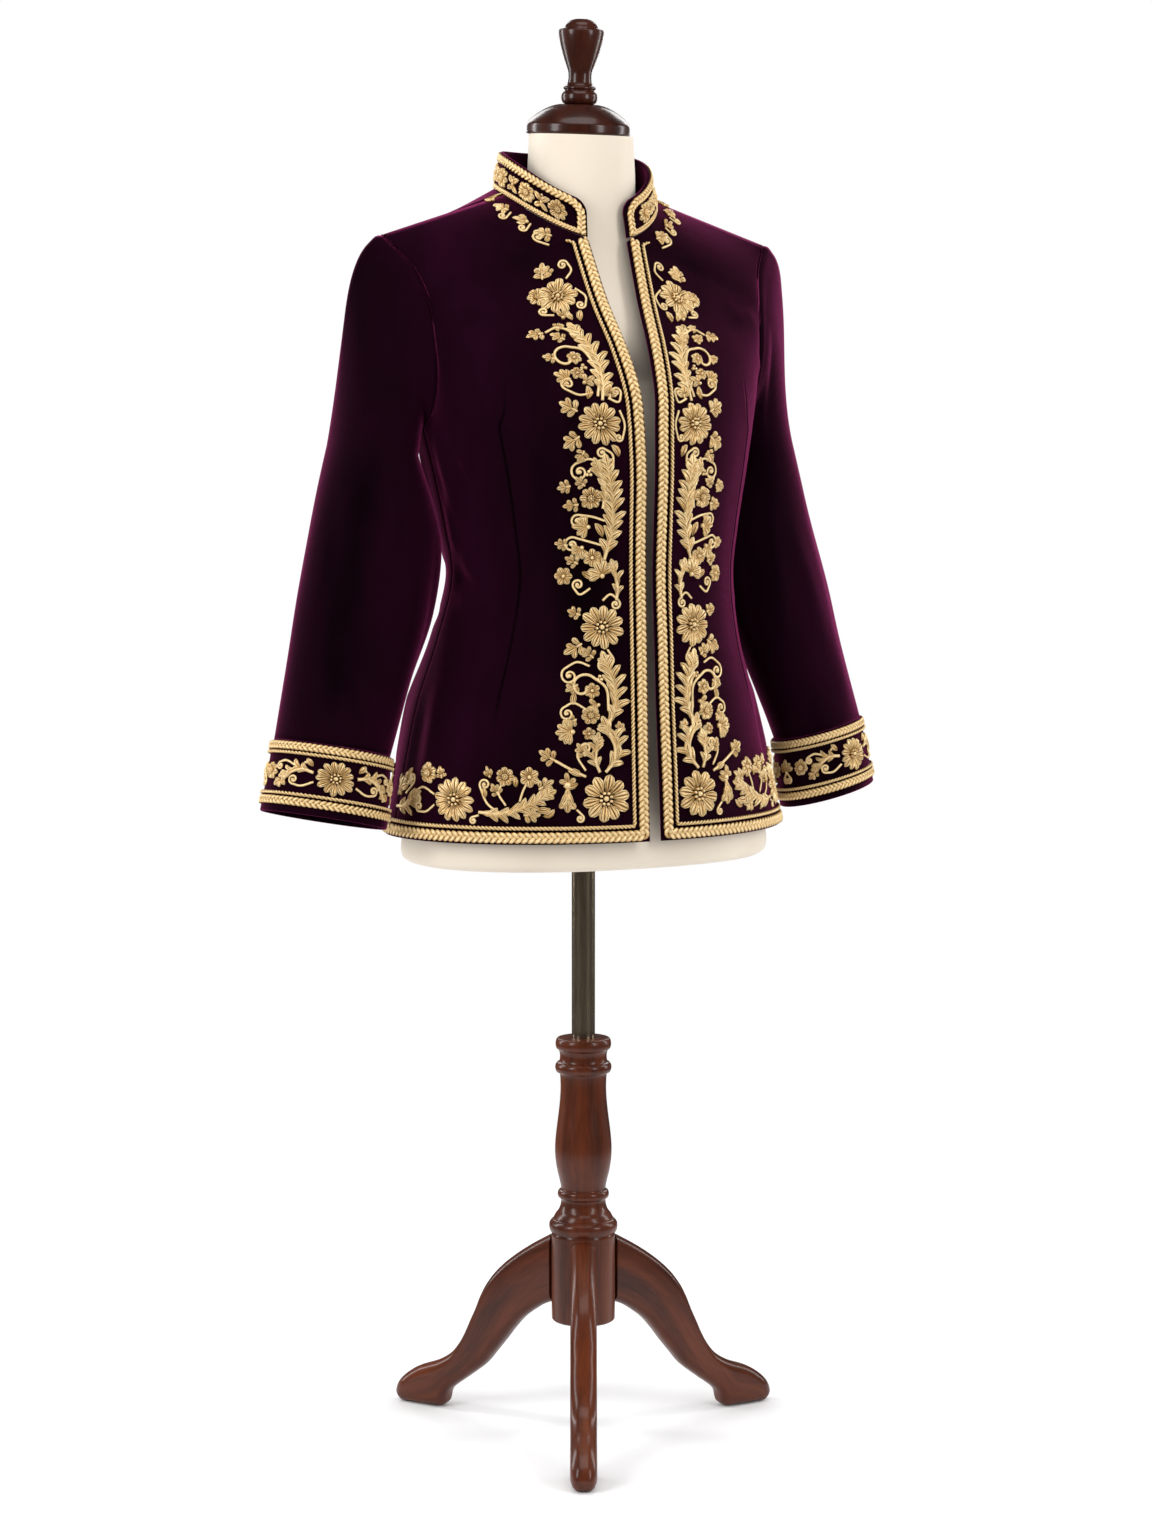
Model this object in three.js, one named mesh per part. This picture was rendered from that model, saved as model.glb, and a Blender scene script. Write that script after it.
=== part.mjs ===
// Karakou jacket of velvet with gold braid, on a limbless dress form with a wooden tripod stand.
// Millimetres, +Z up, the jacket's front towards -Y, origin on the floor under the pole.
import * as THREE from 'three';
import { mergeVertices } from 'three/addons/utils/BufferGeometryUtils.js';

// ---------------------------------------------------------------- driving sizes
const WALL = 2;              // lined velvet
const SEAM_GAP = 0.4;        // between two panels that are sewn together
const TRIM_LIFT = 1;          // braid and flowers stand this far off the velvet
const HEM_Z = 634;
const ARMPIT_Z = 1040;
const SHOULDER_TIP = { x: 217, y: 14, z: 1230 };

const NECK = { side: 84, depth: 74, centreY: 18, backZ: 1284, drop: 58, power: 2.6 };
const NECK_FRONT_ANGLE = 15.2;      // degrees from the centre front to the collar's end
const NECK_SHOULDER_ANGLE = 87;
const COLLAR = { height: 37, corner: 13, lean: 0.2, wall: 2.4, gap: 0.8 };

const CUFF_TOP_Z = 724;
const CUFF_BOTTOM_Z = 655;

const POLE = { radius: 12, bottom: 265, top: 603.7, bore: 12.7 };
const HUB = { radius: 33, bottom: 115, top: 208.7, boreBottom: 140 };
const LEG = { width: 27, bevel: 3, count: 3, frontAngle: -117 };
const NECK_TOP = { y: 12, z: 1336, tilt: 4 };

// Body of the jacket up to the armpit: half width at the side seam and the seam's own y,
// distance of the front edge and of the centre back from the pole, half the front opening.
const BODY = [
  { z: 634, side: 214, sideY: 0, front: 157, back: 133, open: 6.5 },
  { z: 700, side: 200, sideY: 4, front: 153, back: 134, open: 6 },
  { z: 765, side: 184, sideY: 7, front: 149, back: 131, open: 5 },
  { z: 830, side: 163, sideY: 3, front: 146, back: 116, open: 4.5 },
  { z: 892, side: 152, sideY: -9, front: 143, back: 93, open: 4 },
  { z: 940, side: 158, sideY: -7, front: 144, back: 104, open: 4.5 },
  { z: 995, side: 169, sideY: -4, front: 146, back: 115, open: 5 },
  { z: 1040, side: 179, sideY: 0, front: 144, back: 120, open: 6 },
];

// Armhole edges from the armpit (rise 0) to the shoulder tip (rise 1).
const ARMHOLE_FRONT = [
  { rise: 0, x: 179, y: 0, z: 1040 },
  { rise: 0.12, x: 177, y: -20, z: 1056 },
  { rise: 0.3, x: 179, y: -35, z: 1088 },
  { rise: 0.5, x: 183, y: -38, z: 1125 },
  { rise: 0.7, x: 187, y: -30, z: 1165 },
  { rise: 0.85, x: 196, y: -12, z: 1200 },
  { rise: 1, x: 217, y: 14, z: 1230 },
];
const ARMHOLE_BACK = [
  { rise: 0, x: 179, y: 0, z: 1040 },
  { rise: 0.12, x: 179, y: 22, z: 1056 },
  { rise: 0.3, x: 183, y: 38, z: 1088 },
  { rise: 0.5, x: 187, y: 44, z: 1125 },
  { rise: 0.7, x: 191, y: 42, z: 1165 },
  { rise: 0.85, x: 200, y: 32, z: 1200 },
  { rise: 1, x: 217, y: 14, z: 1230 },
];

// Front edge above the armpit, up to the neck seam, and the centre back up to the neck seam.
const FRONT_EDGE = [
  { rise: 0, x: 6, y: -144, z: 1040 },
  { rise: 0.2, x: 8, y: -139, z: 1075 },
  { rise: 0.4, x: 12, y: -117, z: 1120 },
  { rise: 0.55, x: 17, y: -86, z: 1166 },
  { rise: 0.72, x: 22, y: -53.4, z: 1227 },
];
const CENTRE_BACK = [
  { rise: 0, x: 0, y: 120, z: 1040 },
  { rise: 0.25, x: 0, y: 122, z: 1100 },
  { rise: 0.45, x: 0, y: 117, z: 1165 },
  { rise: 0.6, x: 0, y: 107, z: 1227 },
  { rise: 0.72, x: 0, y: 92, z: 1284 },
];

// Sleeve rings from the upper arm to the cuff: centre, half width outwards and inwards,
// half depth, and how far the outer side is skewed to the back.
const SLEEVE = [
  { x: 211, y: 31, z: 1015, out: 49, in: 30, deep: 54, skew: 0.2 },
  { x: 219, y: 26, z: 975, out: 52, in: 45, deep: 52, skew: 0.24 },
  { x: 228, y: 21, z: 930, out: 55, in: 54, deep: 50, skew: 0.26 },
  { x: 245, y: 15, z: 865, out: 55, in: 55, deep: 49, skew: 0.26 },
  { x: 260, y: 10, z: 800, out: 54, in: 54, deep: 48, skew: 0.26 },
  { x: 279, y: 1, z: 724.5, out: 53, in: 53, deep: 47, skew: 0.26 },
];
const CUFF = [
  { x: 279, y: 1, z: 724, out: 54, in: 54, deep: 48, skew: 0.26 },
  { x: 284, y: -0.5, z: 690, out: 56, in: 56, deep: 49.5, skew: 0.26 },
  { x: 290, y: -2, z: 655, out: 58, in: 58, deep: 51, skew: 0.26 },
];
const RING_SLOPE = { x: 0.22, y: -0.09 };   // rings stand square to the hanging arm

// Dress form: half width, and the front and back of each level.
const FORM = [
  { z: 604, half: 187, front: 133, back: 111 },
  { z: 608, half: 193, front: 139, back: 116 },
  { z: 620, half: 195, front: 141, back: 118 },
  { z: 700, half: 184, front: 133, back: 115 },
  { z: 765, half: 164, front: 124, back: 108 },
  { z: 830, half: 144, front: 116, back: 94 },
  { z: 892, half: 133, front: 111, back: 76 },
  { z: 940, half: 140, front: 118, back: 86 },
  { z: 995, half: 151, front: 126, back: 98 },
  { z: 1040, half: 158, front: 124, back: 103 },
  { z: 1100, half: 162, front: 104, back: 104 },
  { z: 1150, half: 162, front: 76, back: 98 },
  { z: 1190, half: 150, front: 54, back: 88 },
  { z: 1213, half: 128, front: 45, back: 80 },
  { z: 1232, half: 92, front: 42, back: 75 },
  { z: 1248, half: 66, front: 41, back: 71 },
  { z: 1266, half: 56, front: 41, back: 68 },
  { z: 1290, half: 55, front: 41, back: 65.5 },
  { z: 1335, half: 52.5, front: 40.5, back: 64.5 },
];

// Turned profiles as radius and height.
const COLUMN_PROFILE = [
  [34, 209], [35.5, 214], [34, 221], [29, 227], [25.5, 233], [23.5, 243], [26.5, 247], [26.5, 253],
  [23.5, 257], [26, 270], [28.8, 285], [29.3, 300], [27.5, 318], [24.5, 342], [23.6, 360], [24.5, 376],
  [28, 381], [28.5, 386], [26, 391], [24.5, 396], [26.5, 403], [28.5, 407], [28.5, 413.5],
];
const CAP_PROFILE = [[0, 0], [52.5, 0], [53, 3], [53, 9], [51, 12], [45, 19], [34, 26], [20, 30], [0, 30]];
const FINIAL_PROFILE = [
  [0, 30.3], [13, 30.3], [18.3, 34], [18.3, 40], [15, 46], [13.5, 50], [12, 55], [12.4, 62], [15, 69],
  [19.5, 80], [22.5, 92], [23, 99], [21.5, 105], [15, 111.5], [0, 115],
];
// Side of one leg as radius from the pole and height: over the top, round the foot, back underneath.
const LEG_TOP = [
  [33.5, 205], [61, 189], [84, 173], [101, 158], [113, 143.5], [121, 129.5], [127, 115.5], [133.5, 102],
  [140, 88], [148, 74], [160, 60], [178, 49], [203, 39], [222, 25], [229, 12], [224, 2],
];
const LEG_FOOT = [[220, 0], [172, 0]];
const LEG_UNDER = [
  [166, 5], [162, 19], [140, 36], [120, 51.5], [107, 66.5], [95, 81], [84, 95], [70, 110], [49, 125], [33.5, 132],
];

const FLOWER = { petals: 8, lobe: 0.8, swell: 0.55, high: 3.2, rim: 1.2 };

// ---------------------------------------------------------------- materials
function material(colour, roughness, metalness) {
  return new THREE.MeshStandardMaterial({ color: colour, roughness, metalness });
}
const velvet = material(0x2a0a22, 0.85, 0);
const gold = material(0xc9a35f, 0.45, 0.6);
const jersey = material(0xefe6d6, 0.9, 0);
const darkWood = material(0x2b100b, 0.3, 0);
const redWood = material(0x4a1a10, 0.28, 0);
const bronze = material(0x3a3128, 0.35, 0.8);

const part = new THREE.Group();
function add(name, geometry, finish, turn = null) {
  const mesh = new THREE.Mesh(geometry, finish);
  mesh.name = name;
  if (turn) turn(mesh);
  part.add(mesh);
}

// ---------------------------------------------------------------- helpers
const radians = THREE.MathUtils.degToRad;
const vec = (x, y, z) => new THREE.Vector3(x, y, z);

// Value of one column of a table at a place between its rows: a cubic whose slope at each row
// is that of the chord between the two neighbouring rows.
function column(table, key, place, name) {
  const last = table.length - 1;
  let i = 0;
  while (i < last - 1 && place > table[i + 1][key]) i += 1;
  const slope = (k) => {
    const low = table[Math.max(k - 1, 0)];
    const high = table[Math.min(k + 1, last)];
    return (high[name] - low[name]) / (high[key] - low[key]);
  };
  const span = table[i + 1][key] - table[i][key];
  const u = Math.min(Math.max((place - table[i][key]) / span, 0), 1);
  const [a, b] = [table[i][name], table[i + 1][name]];
  const [p, q] = [slope(i) * span, slope(i + 1) * span];
  return a + p * u + (3 * (b - a) - 2 * p - q) * u * u + (2 * (a - b) + p + q) * u * u * u;
}
const pointAt = (table, rise) => vec(
  column(table, 'rise', rise, 'x'),
  column(table, 'rise', rise, 'y'),
  column(table, 'rise', rise, 'z'),
);

function toGeometry(points, triangles) {
  const geometry = new THREE.BufferGeometry();
  geometry.setAttribute('position', new THREE.Float32BufferAttribute(points.flatMap((p) => p.toArray()), 3));
  geometry.setIndex(triangles.flat());
  return mergeVertices(geometry, 1e-3);
}

// Two triangles for each cell of a grid of points, rows joined end to end where they close.
function gridTriangles(rows, columns, closed = false) {
  const triangles = [];
  const wide = closed ? columns : columns - 1;
  for (let r = 0; r < rows - 1; r += 1) {
    for (let c = 0; c < wide; c += 1) {
      const [a, b] = [r * columns + c, r * columns + ((c + 1) % columns)];
      triangles.push([a, b, b + columns], [a, b + columns, a + columns]);
    }
  }
  return triangles;
}

// Cloth wall: the outer surface, the same surface moved in by the wall, and a band along every open
// edge. seamAxis names the axis square to a seam at points that lie in one, where the wall has to run
// along the seam's plane.
function clothWall(points, triangles, wall, seamAxis = () => null) {
  const surface = toGeometry(points, triangles);
  surface.computeVertexNormals();
  const position = surface.getAttribute('position');
  const normal = surface.getAttribute('normal');
  const count = position.count;
  const outer = [];
  const inner = [];
  for (let i = 0; i < count; i += 1) {
    const p = new THREE.Vector3().fromBufferAttribute(position, i);
    const n = new THREE.Vector3().fromBufferAttribute(normal, i);
    const axis = seamAxis(p);
    if (axis) {
      n[axis] = 0;
      n.normalize();
    }
    outer.push(p);
    inner.push(p.clone().addScaledVector(n, -wall));
  }
  const index = Array.from(surface.getIndex().array);
  const faces = [];
  const edges = new Set();
  for (let i = 0; i < index.length; i += 3) {
    const [a, b, c] = index.slice(i, i + 3);
    if (a === b || b === c || c === a) continue;
    faces.push([a, b, c], [a + count, c + count, b + count]);
    [[a, b], [b, c], [c, a]].forEach(([s, e]) => edges.add(`${s},${e}`));
  }
  edges.forEach((edge) => {
    const [s, e] = edge.split(',').map(Number);
    if (!edges.has(`${e},${s}`)) faces.push([s, s + count, e + count], [s, e + count, e]);
  });
  return toGeometry([...outer, ...inner], faces);
}

// Band carried along a path: path(i) gives a function (across, height) to a point. The section's
// points go round the band, from the velvet over the top and back.
function band(steps, path, section, closed = false) {
  const points = [];
  for (let i = 0; i < steps; i += 1) {
    section.forEach(([across, height]) => points.push(path(i)(across, height)));
  }
  const n = section.length;
  const rows = closed ? steps + 1 : steps;
  if (closed) points.push(...points.slice(0, n));
  const faces = gridTriangles(rows, n, true);
  if (!closed) {
    const end = (rows - 1) * n;
    for (let k = 1; k < n - 1; k += 1) faces.push([0, k + 1, k], [end, end + k, end + k + 1]);
  }
  return outward(toGeometry(points, faces));
}

// Faces of a closed body turned to point out.
function outward(geometry) {
  const position = geometry.getAttribute('position');
  const index = geometry.getIndex();
  const corner = (i) => new THREE.Vector3().fromBufferAttribute(position, index.getX(i));
  let volume = 0;
  for (let i = 0; i < index.count; i += 3) volume += corner(i).dot(corner(i + 1).cross(corner(i + 2)));
  if (volume < 0) {
    for (let i = 0; i < index.count; i += 3) {
      const second = index.getX(i + 1);
      index.setX(i + 1, index.getX(i + 2));
      index.setX(i + 2, second);
    }
  }
  return geometry;
}

// ---------------------------------------------------------------- neck seam
// The neck seam is an ellipse seen from above, low in front and high behind; angle 0 is the front.
function neckSeam(degrees) {
  const a = radians(degrees);
  const low = Math.abs(Math.cos(a / 2)) ** (2 * NECK.power);
  return vec(
    NECK.side * Math.sin(a),
    NECK.centreY - NECK.depth * Math.cos(a),
    NECK.backZ - NECK.drop * low,
  );
}

// ---------------------------------------------------------------- fronts and back
// Every row of a panel is a quarter of a superellipse from its side edge to its middle edge.
// level 0..1 climbs from the hem to the armpit, 1..2 from the armpit to the shoulder seam.
function rowEnds(face, level) {
  const sign = face === 'front' ? -1 : 1;
  const gap = (SEAM_GAP / 2) * sign;
  if (level <= 1) {
    const z = HEM_Z + (ARMPIT_Z - HEM_Z) * level;
    const at = (name) => column(BODY, 'z', z, name);
    const middle = face === 'front' ? vec(at('open'), -at('front'), z) : vec(0, at('back'), z);
    return { side: vec(at('side'), at('sideY') + gap, z), middle, round: 1 };
  }
  const rise = level - 1;
  const edge = face === 'front' ? FRONT_EDGE : CENTRE_BACK;
  const neckRise = edge[edge.length - 1].rise;
  const neckAngle = face === 'front' ? NECK_FRONT_ANGLE : 180;
  const along = Math.max((rise - neckRise) / (1 - neckRise), 0);
  const seam = neckSeam(neckAngle + (NECK_SHOULDER_ANGLE - neckAngle) * along);
  if (along > 0) seam.y += gap * along;
  const side = pointAt(face === 'front' ? ARMHOLE_FRONT : ARMHOLE_BACK, rise);
  side.y += gap;
  const middle = rise < neckRise ? pointAt(edge, rise) : seam;
  return { side, middle, round: 1 + 0.4 * Math.min(rise / neckRise, 1) };
}

function rowPoint({ side, middle, round }, share) {
  const c = Math.cos((share * Math.PI) / 2) ** round;
  const s = Math.sin((share * Math.PI) / 2) ** round;
  return vec(
    middle.x + (side.x - middle.x) * c,
    side.y + (middle.y - side.y) * s,
    middle.z + (side.z - middle.z) * c,
  );
}

// Rows of the grids: below the armpit, up to the neck seam, and along the neck seam to the shoulder.
const LEVELS = [];
const ROWS_BELOW = 13;
const ROWS_CHEST = 5;
const ROWS_NECK = 5;
const NECK_RISE = FRONT_EDGE[FRONT_EDGE.length - 1].rise;
for (let i = 0; i <= ROWS_BELOW; i += 1) LEVELS.push(i / ROWS_BELOW);
for (let i = 1; i <= ROWS_CHEST; i += 1) LEVELS.push(1 + (NECK_RISE * i) / ROWS_CHEST);
for (let i = 1; i <= ROWS_NECK; i += 1) LEVELS.push(1 + NECK_RISE + ((1 - NECK_RISE) * i) / ROWS_NECK);

// Points of half a panel on the +X side, row by row from the hem, side edge first.
function halfPanel(face, columns) {
  return LEVELS.map((level) => {
    const ends = rowEnds(face, level);
    return Array.from({ length: columns + 1 }, (_, c) => {
      const p = rowPoint(ends, c / columns);
      if (face === 'back' && c === columns) p.x = Math.max(p.x, SEAM_GAP / 2);
      return p;
    });
  });
}

const FRONT_COLUMNS = 12;
const BACK_COLUMNS = 9;
const frontRows = halfPanel('front', FRONT_COLUMNS);
const backRows = halfPanel('back', BACK_COLUMNS);

const flip = (p, side) => vec(p.x * side, p.y, p.z);

// Axis square to the seam that a panel's point lies in: side and shoulder seams, and the centre back.
function panelSeam(p) {
  const x = Math.abs(p.x);
  if (p.y > 0 && x < SEAM_GAP) return 'x';
  if (p.z <= ARMPIT_Z + 0.5) {
    const z = Math.min(Math.max(p.z, HEM_Z), ARMPIT_Z);
    return x > column(BODY, 'z', z, 'side') - 0.5 ? 'y' : null;
  }
  return Math.abs(p.y - SHOULDER_TIP.y) < SEAM_GAP && x > NECK.side - 1 ? 'y' : null;
}

// side +1 is the wearer's left, -1 the right; a mirrored grid has its faces turned over.
function panel(rows, side, turnOver) {
  const points = rows.flat().map((p) => flip(p, side));
  const triangles = gridTriangles(rows.length, rows[0].length);
  const over = turnOver !== (side < 0);
  return clothWall(points, over ? triangles.map(([a, b, c]) => [a, c, b]) : triangles, WALL, panelSeam);
}

[['right', -1], ['left', 1]].forEach(([name, side]) => {
  add(`front_${name}`, panel(frontRows, side, true), velvet);
  add(`back_${name}`, panel(backRows, side, false), velvet);
});

// ---------------------------------------------------------------- places on a panel
const rowLength = (row) => row.slice(1).reduce((sum, p, i) => sum + p.distanceTo(row[i]), 0);

// Place on a panel: away is the distance along the row from the middle edge, row a place between two
// rows of the grid, height the distance off the velvet.
function placeOn(rows, side) {
  const onRow = (row, away) => {
    let left = Math.min(away, rowLength(row) - SEAM_GAP / 2);
    for (let c = row.length - 1; c > 0; c -= 1) {
      const step = row[c].distanceTo(row[c - 1]);
      if (left <= step || c === 1) return row[c].clone().lerp(row[c - 1], left / step);
      left -= step;
    }
    return row[0].clone();
  };
  const flat = (away, row) => {
    const low = Math.min(Math.max(Math.floor(row), 0), rows.length - 2);
    return onRow(rows[low], away).lerp(onRow(rows[low + 1], away), row - low);
  };
  return (away, row, height) => {
    const [a, b] = [flat(away + 2, row), flat(Math.max(away - 2, 0), row)];
    const [c, d] = [flat(away, row + 0.1), flat(away, row - 0.1)];
    const normal = a.sub(b).cross(c.sub(d)).normalize();
    const p = flat(away, row);
    const outside = p.clone().setZ(0);
    if (normal.dot(outside) < 0) normal.negate();
    return flip(p.addScaledVector(normal, height), side);
  };
}

// Place between the rows at which the middle edge stands at a height.
function rowAtHeight(rows, z) {
  const edge = rows.map((row) => row[row.length - 1].z);
  let i = 0;
  while (i < edge.length - 2 && z > edge[i + 1]) i += 1;
  return i + (z - edge[i]) / (edge[i + 1] - edge[i]);
}

// ---------------------------------------------------------------- braid on fronts and hem
// Section of the doubled trim: a thick plaited braid at the edge, a furrow, and a thin cord.
const DOUBLE_TRIM = [
  [1, TRIM_LIFT], [2, 2.8], [9, 3], [12, 1.6], [14, 2.6], [17.5, 2.4], [18.5, TRIM_LIFT],
];
const FRONT_TRIM_SCALE = 1.12;

// The trim runs down the front edge, turns square at the corner and runs along the hem.
function frontTrim(side) {
  const place = placeOn(frontRows, side);
  const neckRow = rowAtHeight(frontRows, FRONT_EDGE[FRONT_EDGE.length - 1].z) - 0.08;
  const rowStep = (ARMPIT_Z - HEM_Z) / ROWS_BELOW;
  const hemRow = frontRows[0];
  const hemLength = rowLength(hemRow);
  const spots = [];
  for (let row = Math.floor(neckRow); row >= 1; row -= 1) spots.push({ row });
  spots.unshift({ row: neckRow });
  spots.push({ corner: true });
  let away = 0;
  for (let c = hemRow.length - 1; c > 1; c -= 1) {
    away += hemRow[c].distanceTo(hemRow[c - 1]);
    spots.push({ away });
  }
  spots.push({ away: hemLength - SEAM_GAP });
  const path = (i) => (across, height) => {
    const spot = spots[i];
    if (spot.corner) return place(across * FRONT_TRIM_SCALE, across / rowStep, height);
    if (spot.away) return place(spot.away, across / rowStep, height);
    return place(across * FRONT_TRIM_SCALE, spot.row, height);
  };
  return band(spots.length, path, DOUBLE_TRIM);
}

function backHemTrim() {
  const rowStep = (ARMPIT_Z - HEM_Z) / ROWS_BELOW;
  const hemRow = backRows[0];
  const hemLength = rowLength(hemRow);
  const half = [hemLength - SEAM_GAP];
  let away = hemLength;
  for (let c = 1; c < hemRow.length - 1; c += 1) {
    away -= hemRow[c].distanceTo(hemRow[c - 1]);
    half.push(away);
  }
  const spots = [...half.map((d) => ({ d, side: -1 })), { d: 0, side: 1 }];
  [...half].reverse().forEach((d) => spots.push({ d, side: 1 }));
  const places = { 1: placeOn(backRows, 1), '-1': placeOn(backRows, -1) };
  const path = (i) => (across, height) => places[spots[i].side](spots[i].d, across / rowStep, height);
  return band(spots.length, path, DOUBLE_TRIM);
}

add('trim_front_right', frontTrim(-1), gold);
add('trim_front_left', frontTrim(1), gold);
add('trim_hem_back', backHemTrim(), gold);

// ---------------------------------------------------------------- collar
// Stand collar on the neck seam: round is the place along it in degrees, up the height in mm.
const collarEnd = NECK_FRONT_ANGLE + 0.4;
function collarPoint(round, up, out) {
  const base = neckSeam(round);
  const centre = vec(0, NECK.centreY, base.z);
  const away = base.clone().sub(centre).normalize();
  const slope = vec(-away.x * COLLAR.lean, -away.y * COLLAR.lean, 1).normalize();
  const facing = vec(away.x, away.y, COLLAR.lean).normalize();
  return base.addScaledVector(slope, COLLAR.gap + up).addScaledVector(facing, out);
}
const collarLength = (degrees) => radians(degrees) * (NECK.side + NECK.depth) * 0.5;

// Height of the collar's top edge, rounded off at its two front ends.
function collarTop(round) {
  const end = Math.max(collarLength(Math.min(round, 360 - round) - collarEnd), 0);
  if (end >= COLLAR.corner) return COLLAR.height;
  const drop = COLLAR.corner - Math.sqrt(COLLAR.corner ** 2 - (COLLAR.corner - end) ** 2);
  return COLLAR.height - drop;
}

// The collar's steps are those of the neck seam on the panels, with more at the rounded corners.
const HALF_ROUND = [0, 2.2, 5].map((d) => collarEnd + d);
for (let i = 1; i <= ROWS_NECK; i += 1) {
  HALF_ROUND.push(NECK_FRONT_ANGLE + ((NECK_SHOULDER_ANGLE - NECK_FRONT_ANGLE) * i) / ROWS_NECK);
}
for (let i = 1; i < ROWS_NECK; i += 1) {
  HALF_ROUND.push(NECK_SHOULDER_ANGLE + ((180 - NECK_SHOULDER_ANGLE) * i) / ROWS_NECK);
}
const COLLAR_ROUND = [...HALF_ROUND, 180, ...[...HALF_ROUND].reverse().map((d) => 360 - d)];

function collar() {
  const rows = [0, 0.5, 1];
  const points = rows.flatMap((r) => COLLAR_ROUND.map((d) => collarPoint(d, r * collarTop(d), 0)));
  return clothWall(points, gridTriangles(rows.length, COLLAR_ROUND.length), COLLAR.wall);
}
add('collar', outward(collar()), velvet);

const EDGE_TRIM = [[0.8, 0.9], [1.6, 2.8], [8.6, 2.8], [9.4, 0.9]];
const NECK_TRIM = [[0.6, 0.6], [1.2, 2], [4.6, 2], [5.2, 0.6]];

// The collar's trim follows its ends and top; at a corner it is set in along the diagonal.
function collarTrim() {
  const spots = [];
  [6.5, 14, 21].forEach((up) => spots.push({ round: collarEnd, up, inX: 1, inUp: 0 }));
  [[1.6, 0.93, 0.37], [3.2, 0.7, 0.7], [6, 0.4, 0.92], [10, 0, 1]].forEach(([d, inX, inUp]) => {
    spots.push({ round: collarEnd + d, up: collarTop(collarEnd + d), inX, inUp: -inUp });
  });
  COLLAR_ROUND.filter((d) => d > collarEnd + 15 && d <= 180).forEach((d) => {
    spots.push({ round: d, up: COLLAR.height, inX: 0, inUp: -1 });
  });
  const other = spots.filter((s) => s.round < 179.9).reverse()
    .map((s) => ({ ...s, round: 360 - s.round, inX: -s.inX }));
  const all = [...spots, ...other];
  const perMm = 1 / collarLength(1);
  const path = (i) => (across, height) => {
    const s = all[i];
    return collarPoint(s.round + s.inX * across * perMm, s.up + s.inUp * across, height);
  };
  return band(all.length, path, EDGE_TRIM);
}
function neckTrim() {
  const path = (i) => (across, height) => collarPoint(COLLAR_ROUND[i], across, height);
  return band(COLLAR_ROUND.length, path, NECK_TRIM);
}
add('trim_collar', collarTrim(), gold);
add('trim_neck', neckTrim(), gold);

// ---------------------------------------------------------------- sleeves and cuffs
const ARM_STEPS = 2 * (ROWS_CHEST + ROWS_NECK);

// Point of a sleeve ring; turn 0 is the outer side, a quarter turn the front.
function ringPoint(ring, turn, grow = 0) {
  const c = Math.cos(turn);
  const across = (c > 0 ? ring.out : ring.in) * c + grow * c;
  const deep = -(ring.deep + grow) * Math.sin(turn) + ring.skew * across;
  return vec(ring.x + across, ring.y + deep, ring.z + RING_SLOPE.x * across + RING_SLOPE.y * deep);
}
function ringBetween(table, share) {
  const keyed = table.map((row, i) => ({ ...row, at: i / (table.length - 1) }));
  const ring = {};
  ['x', 'y', 'z', 'out', 'in', 'deep', 'skew'].forEach((name) => {
    ring[name] = column(keyed, 'at', share, name);
  });
  return ring;
}

// The armhole as one loop from the shoulder tip down the front to the armpit and up the back.
function armholeLoop() {
  const rises = LEVELS.filter((level) => level >= 1).map((level) => level - 1);
  const front = [...rises].reverse().map((rise) => pointAt(ARMHOLE_FRONT, rise));
  const back = rises.slice(1, -1).map((rise) => pointAt(ARMHOLE_BACK, rise));
  return [...front, ...back].map((p) => vec(p.x + ARMHOLE_GAP, p.y, p.z));
}

const ARMHOLE_GAP = 1.2;
const SLEEVE_HEAD_STEPS = 5;
const SLEEVE_STEPS = 8;
function sleeve(side) {
  const loop = armholeLoop();
  const rows = [];
  for (let i = 0; i < SLEEVE_HEAD_STEPS; i += 1) {
    const t = i / SLEEVE_HEAD_STEPS;
    rows.push(loop.map((start, j) => {
      const turn = (2 * Math.PI * j) / ARM_STEPS;
      const end = ringPoint(SLEEVE[0], turn);
      const reach = start.distanceTo(end);
      const top = Math.max(Math.cos(turn), 0);
      const leave = vec(0.55, 0, -0.4 + 0.25 * top).multiplyScalar(0.42 * reach);
      const arrive = vec(-RING_SLOPE.x, 0.08, 1).multiplyScalar(0.42 * reach);
      const path = new THREE.CubicBezierCurve3(start, start.clone().add(leave), end.clone().add(arrive), end);
      return path.getPoint(t);
    }));
  }
  for (let i = 0; i <= SLEEVE_STEPS; i += 1) {
    const ring = ringBetween(SLEEVE, i / SLEEVE_STEPS);
    rows.push(loop.map((_, j) => ringPoint(ring, (2 * Math.PI * j) / ARM_STEPS)));
  }
  return tube(rows, side);
}

function tube(rows, side) {
  const points = rows.flat().map((p) => flip(p, side));
  const triangles = gridTriangles(rows.length, ARM_STEPS, true);
  const facing = side < 0 ? triangles.map(([a, b, c]) => [a, c, b]) : triangles;
  return clothWall(points, facing, WALL);
}

const CUFF_STEPS = 2;
function cuff(side) {
  const rows = [];
  for (let i = 0; i <= CUFF_STEPS; i += 1) {
    const ring = ringBetween(CUFF, i / CUFF_STEPS);
    rows.push(Array.from({ length: ARM_STEPS }, (_, j) => ringPoint(ring, (2 * Math.PI * j) / ARM_STEPS)));
  }
  return tube(rows, side);
}

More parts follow.
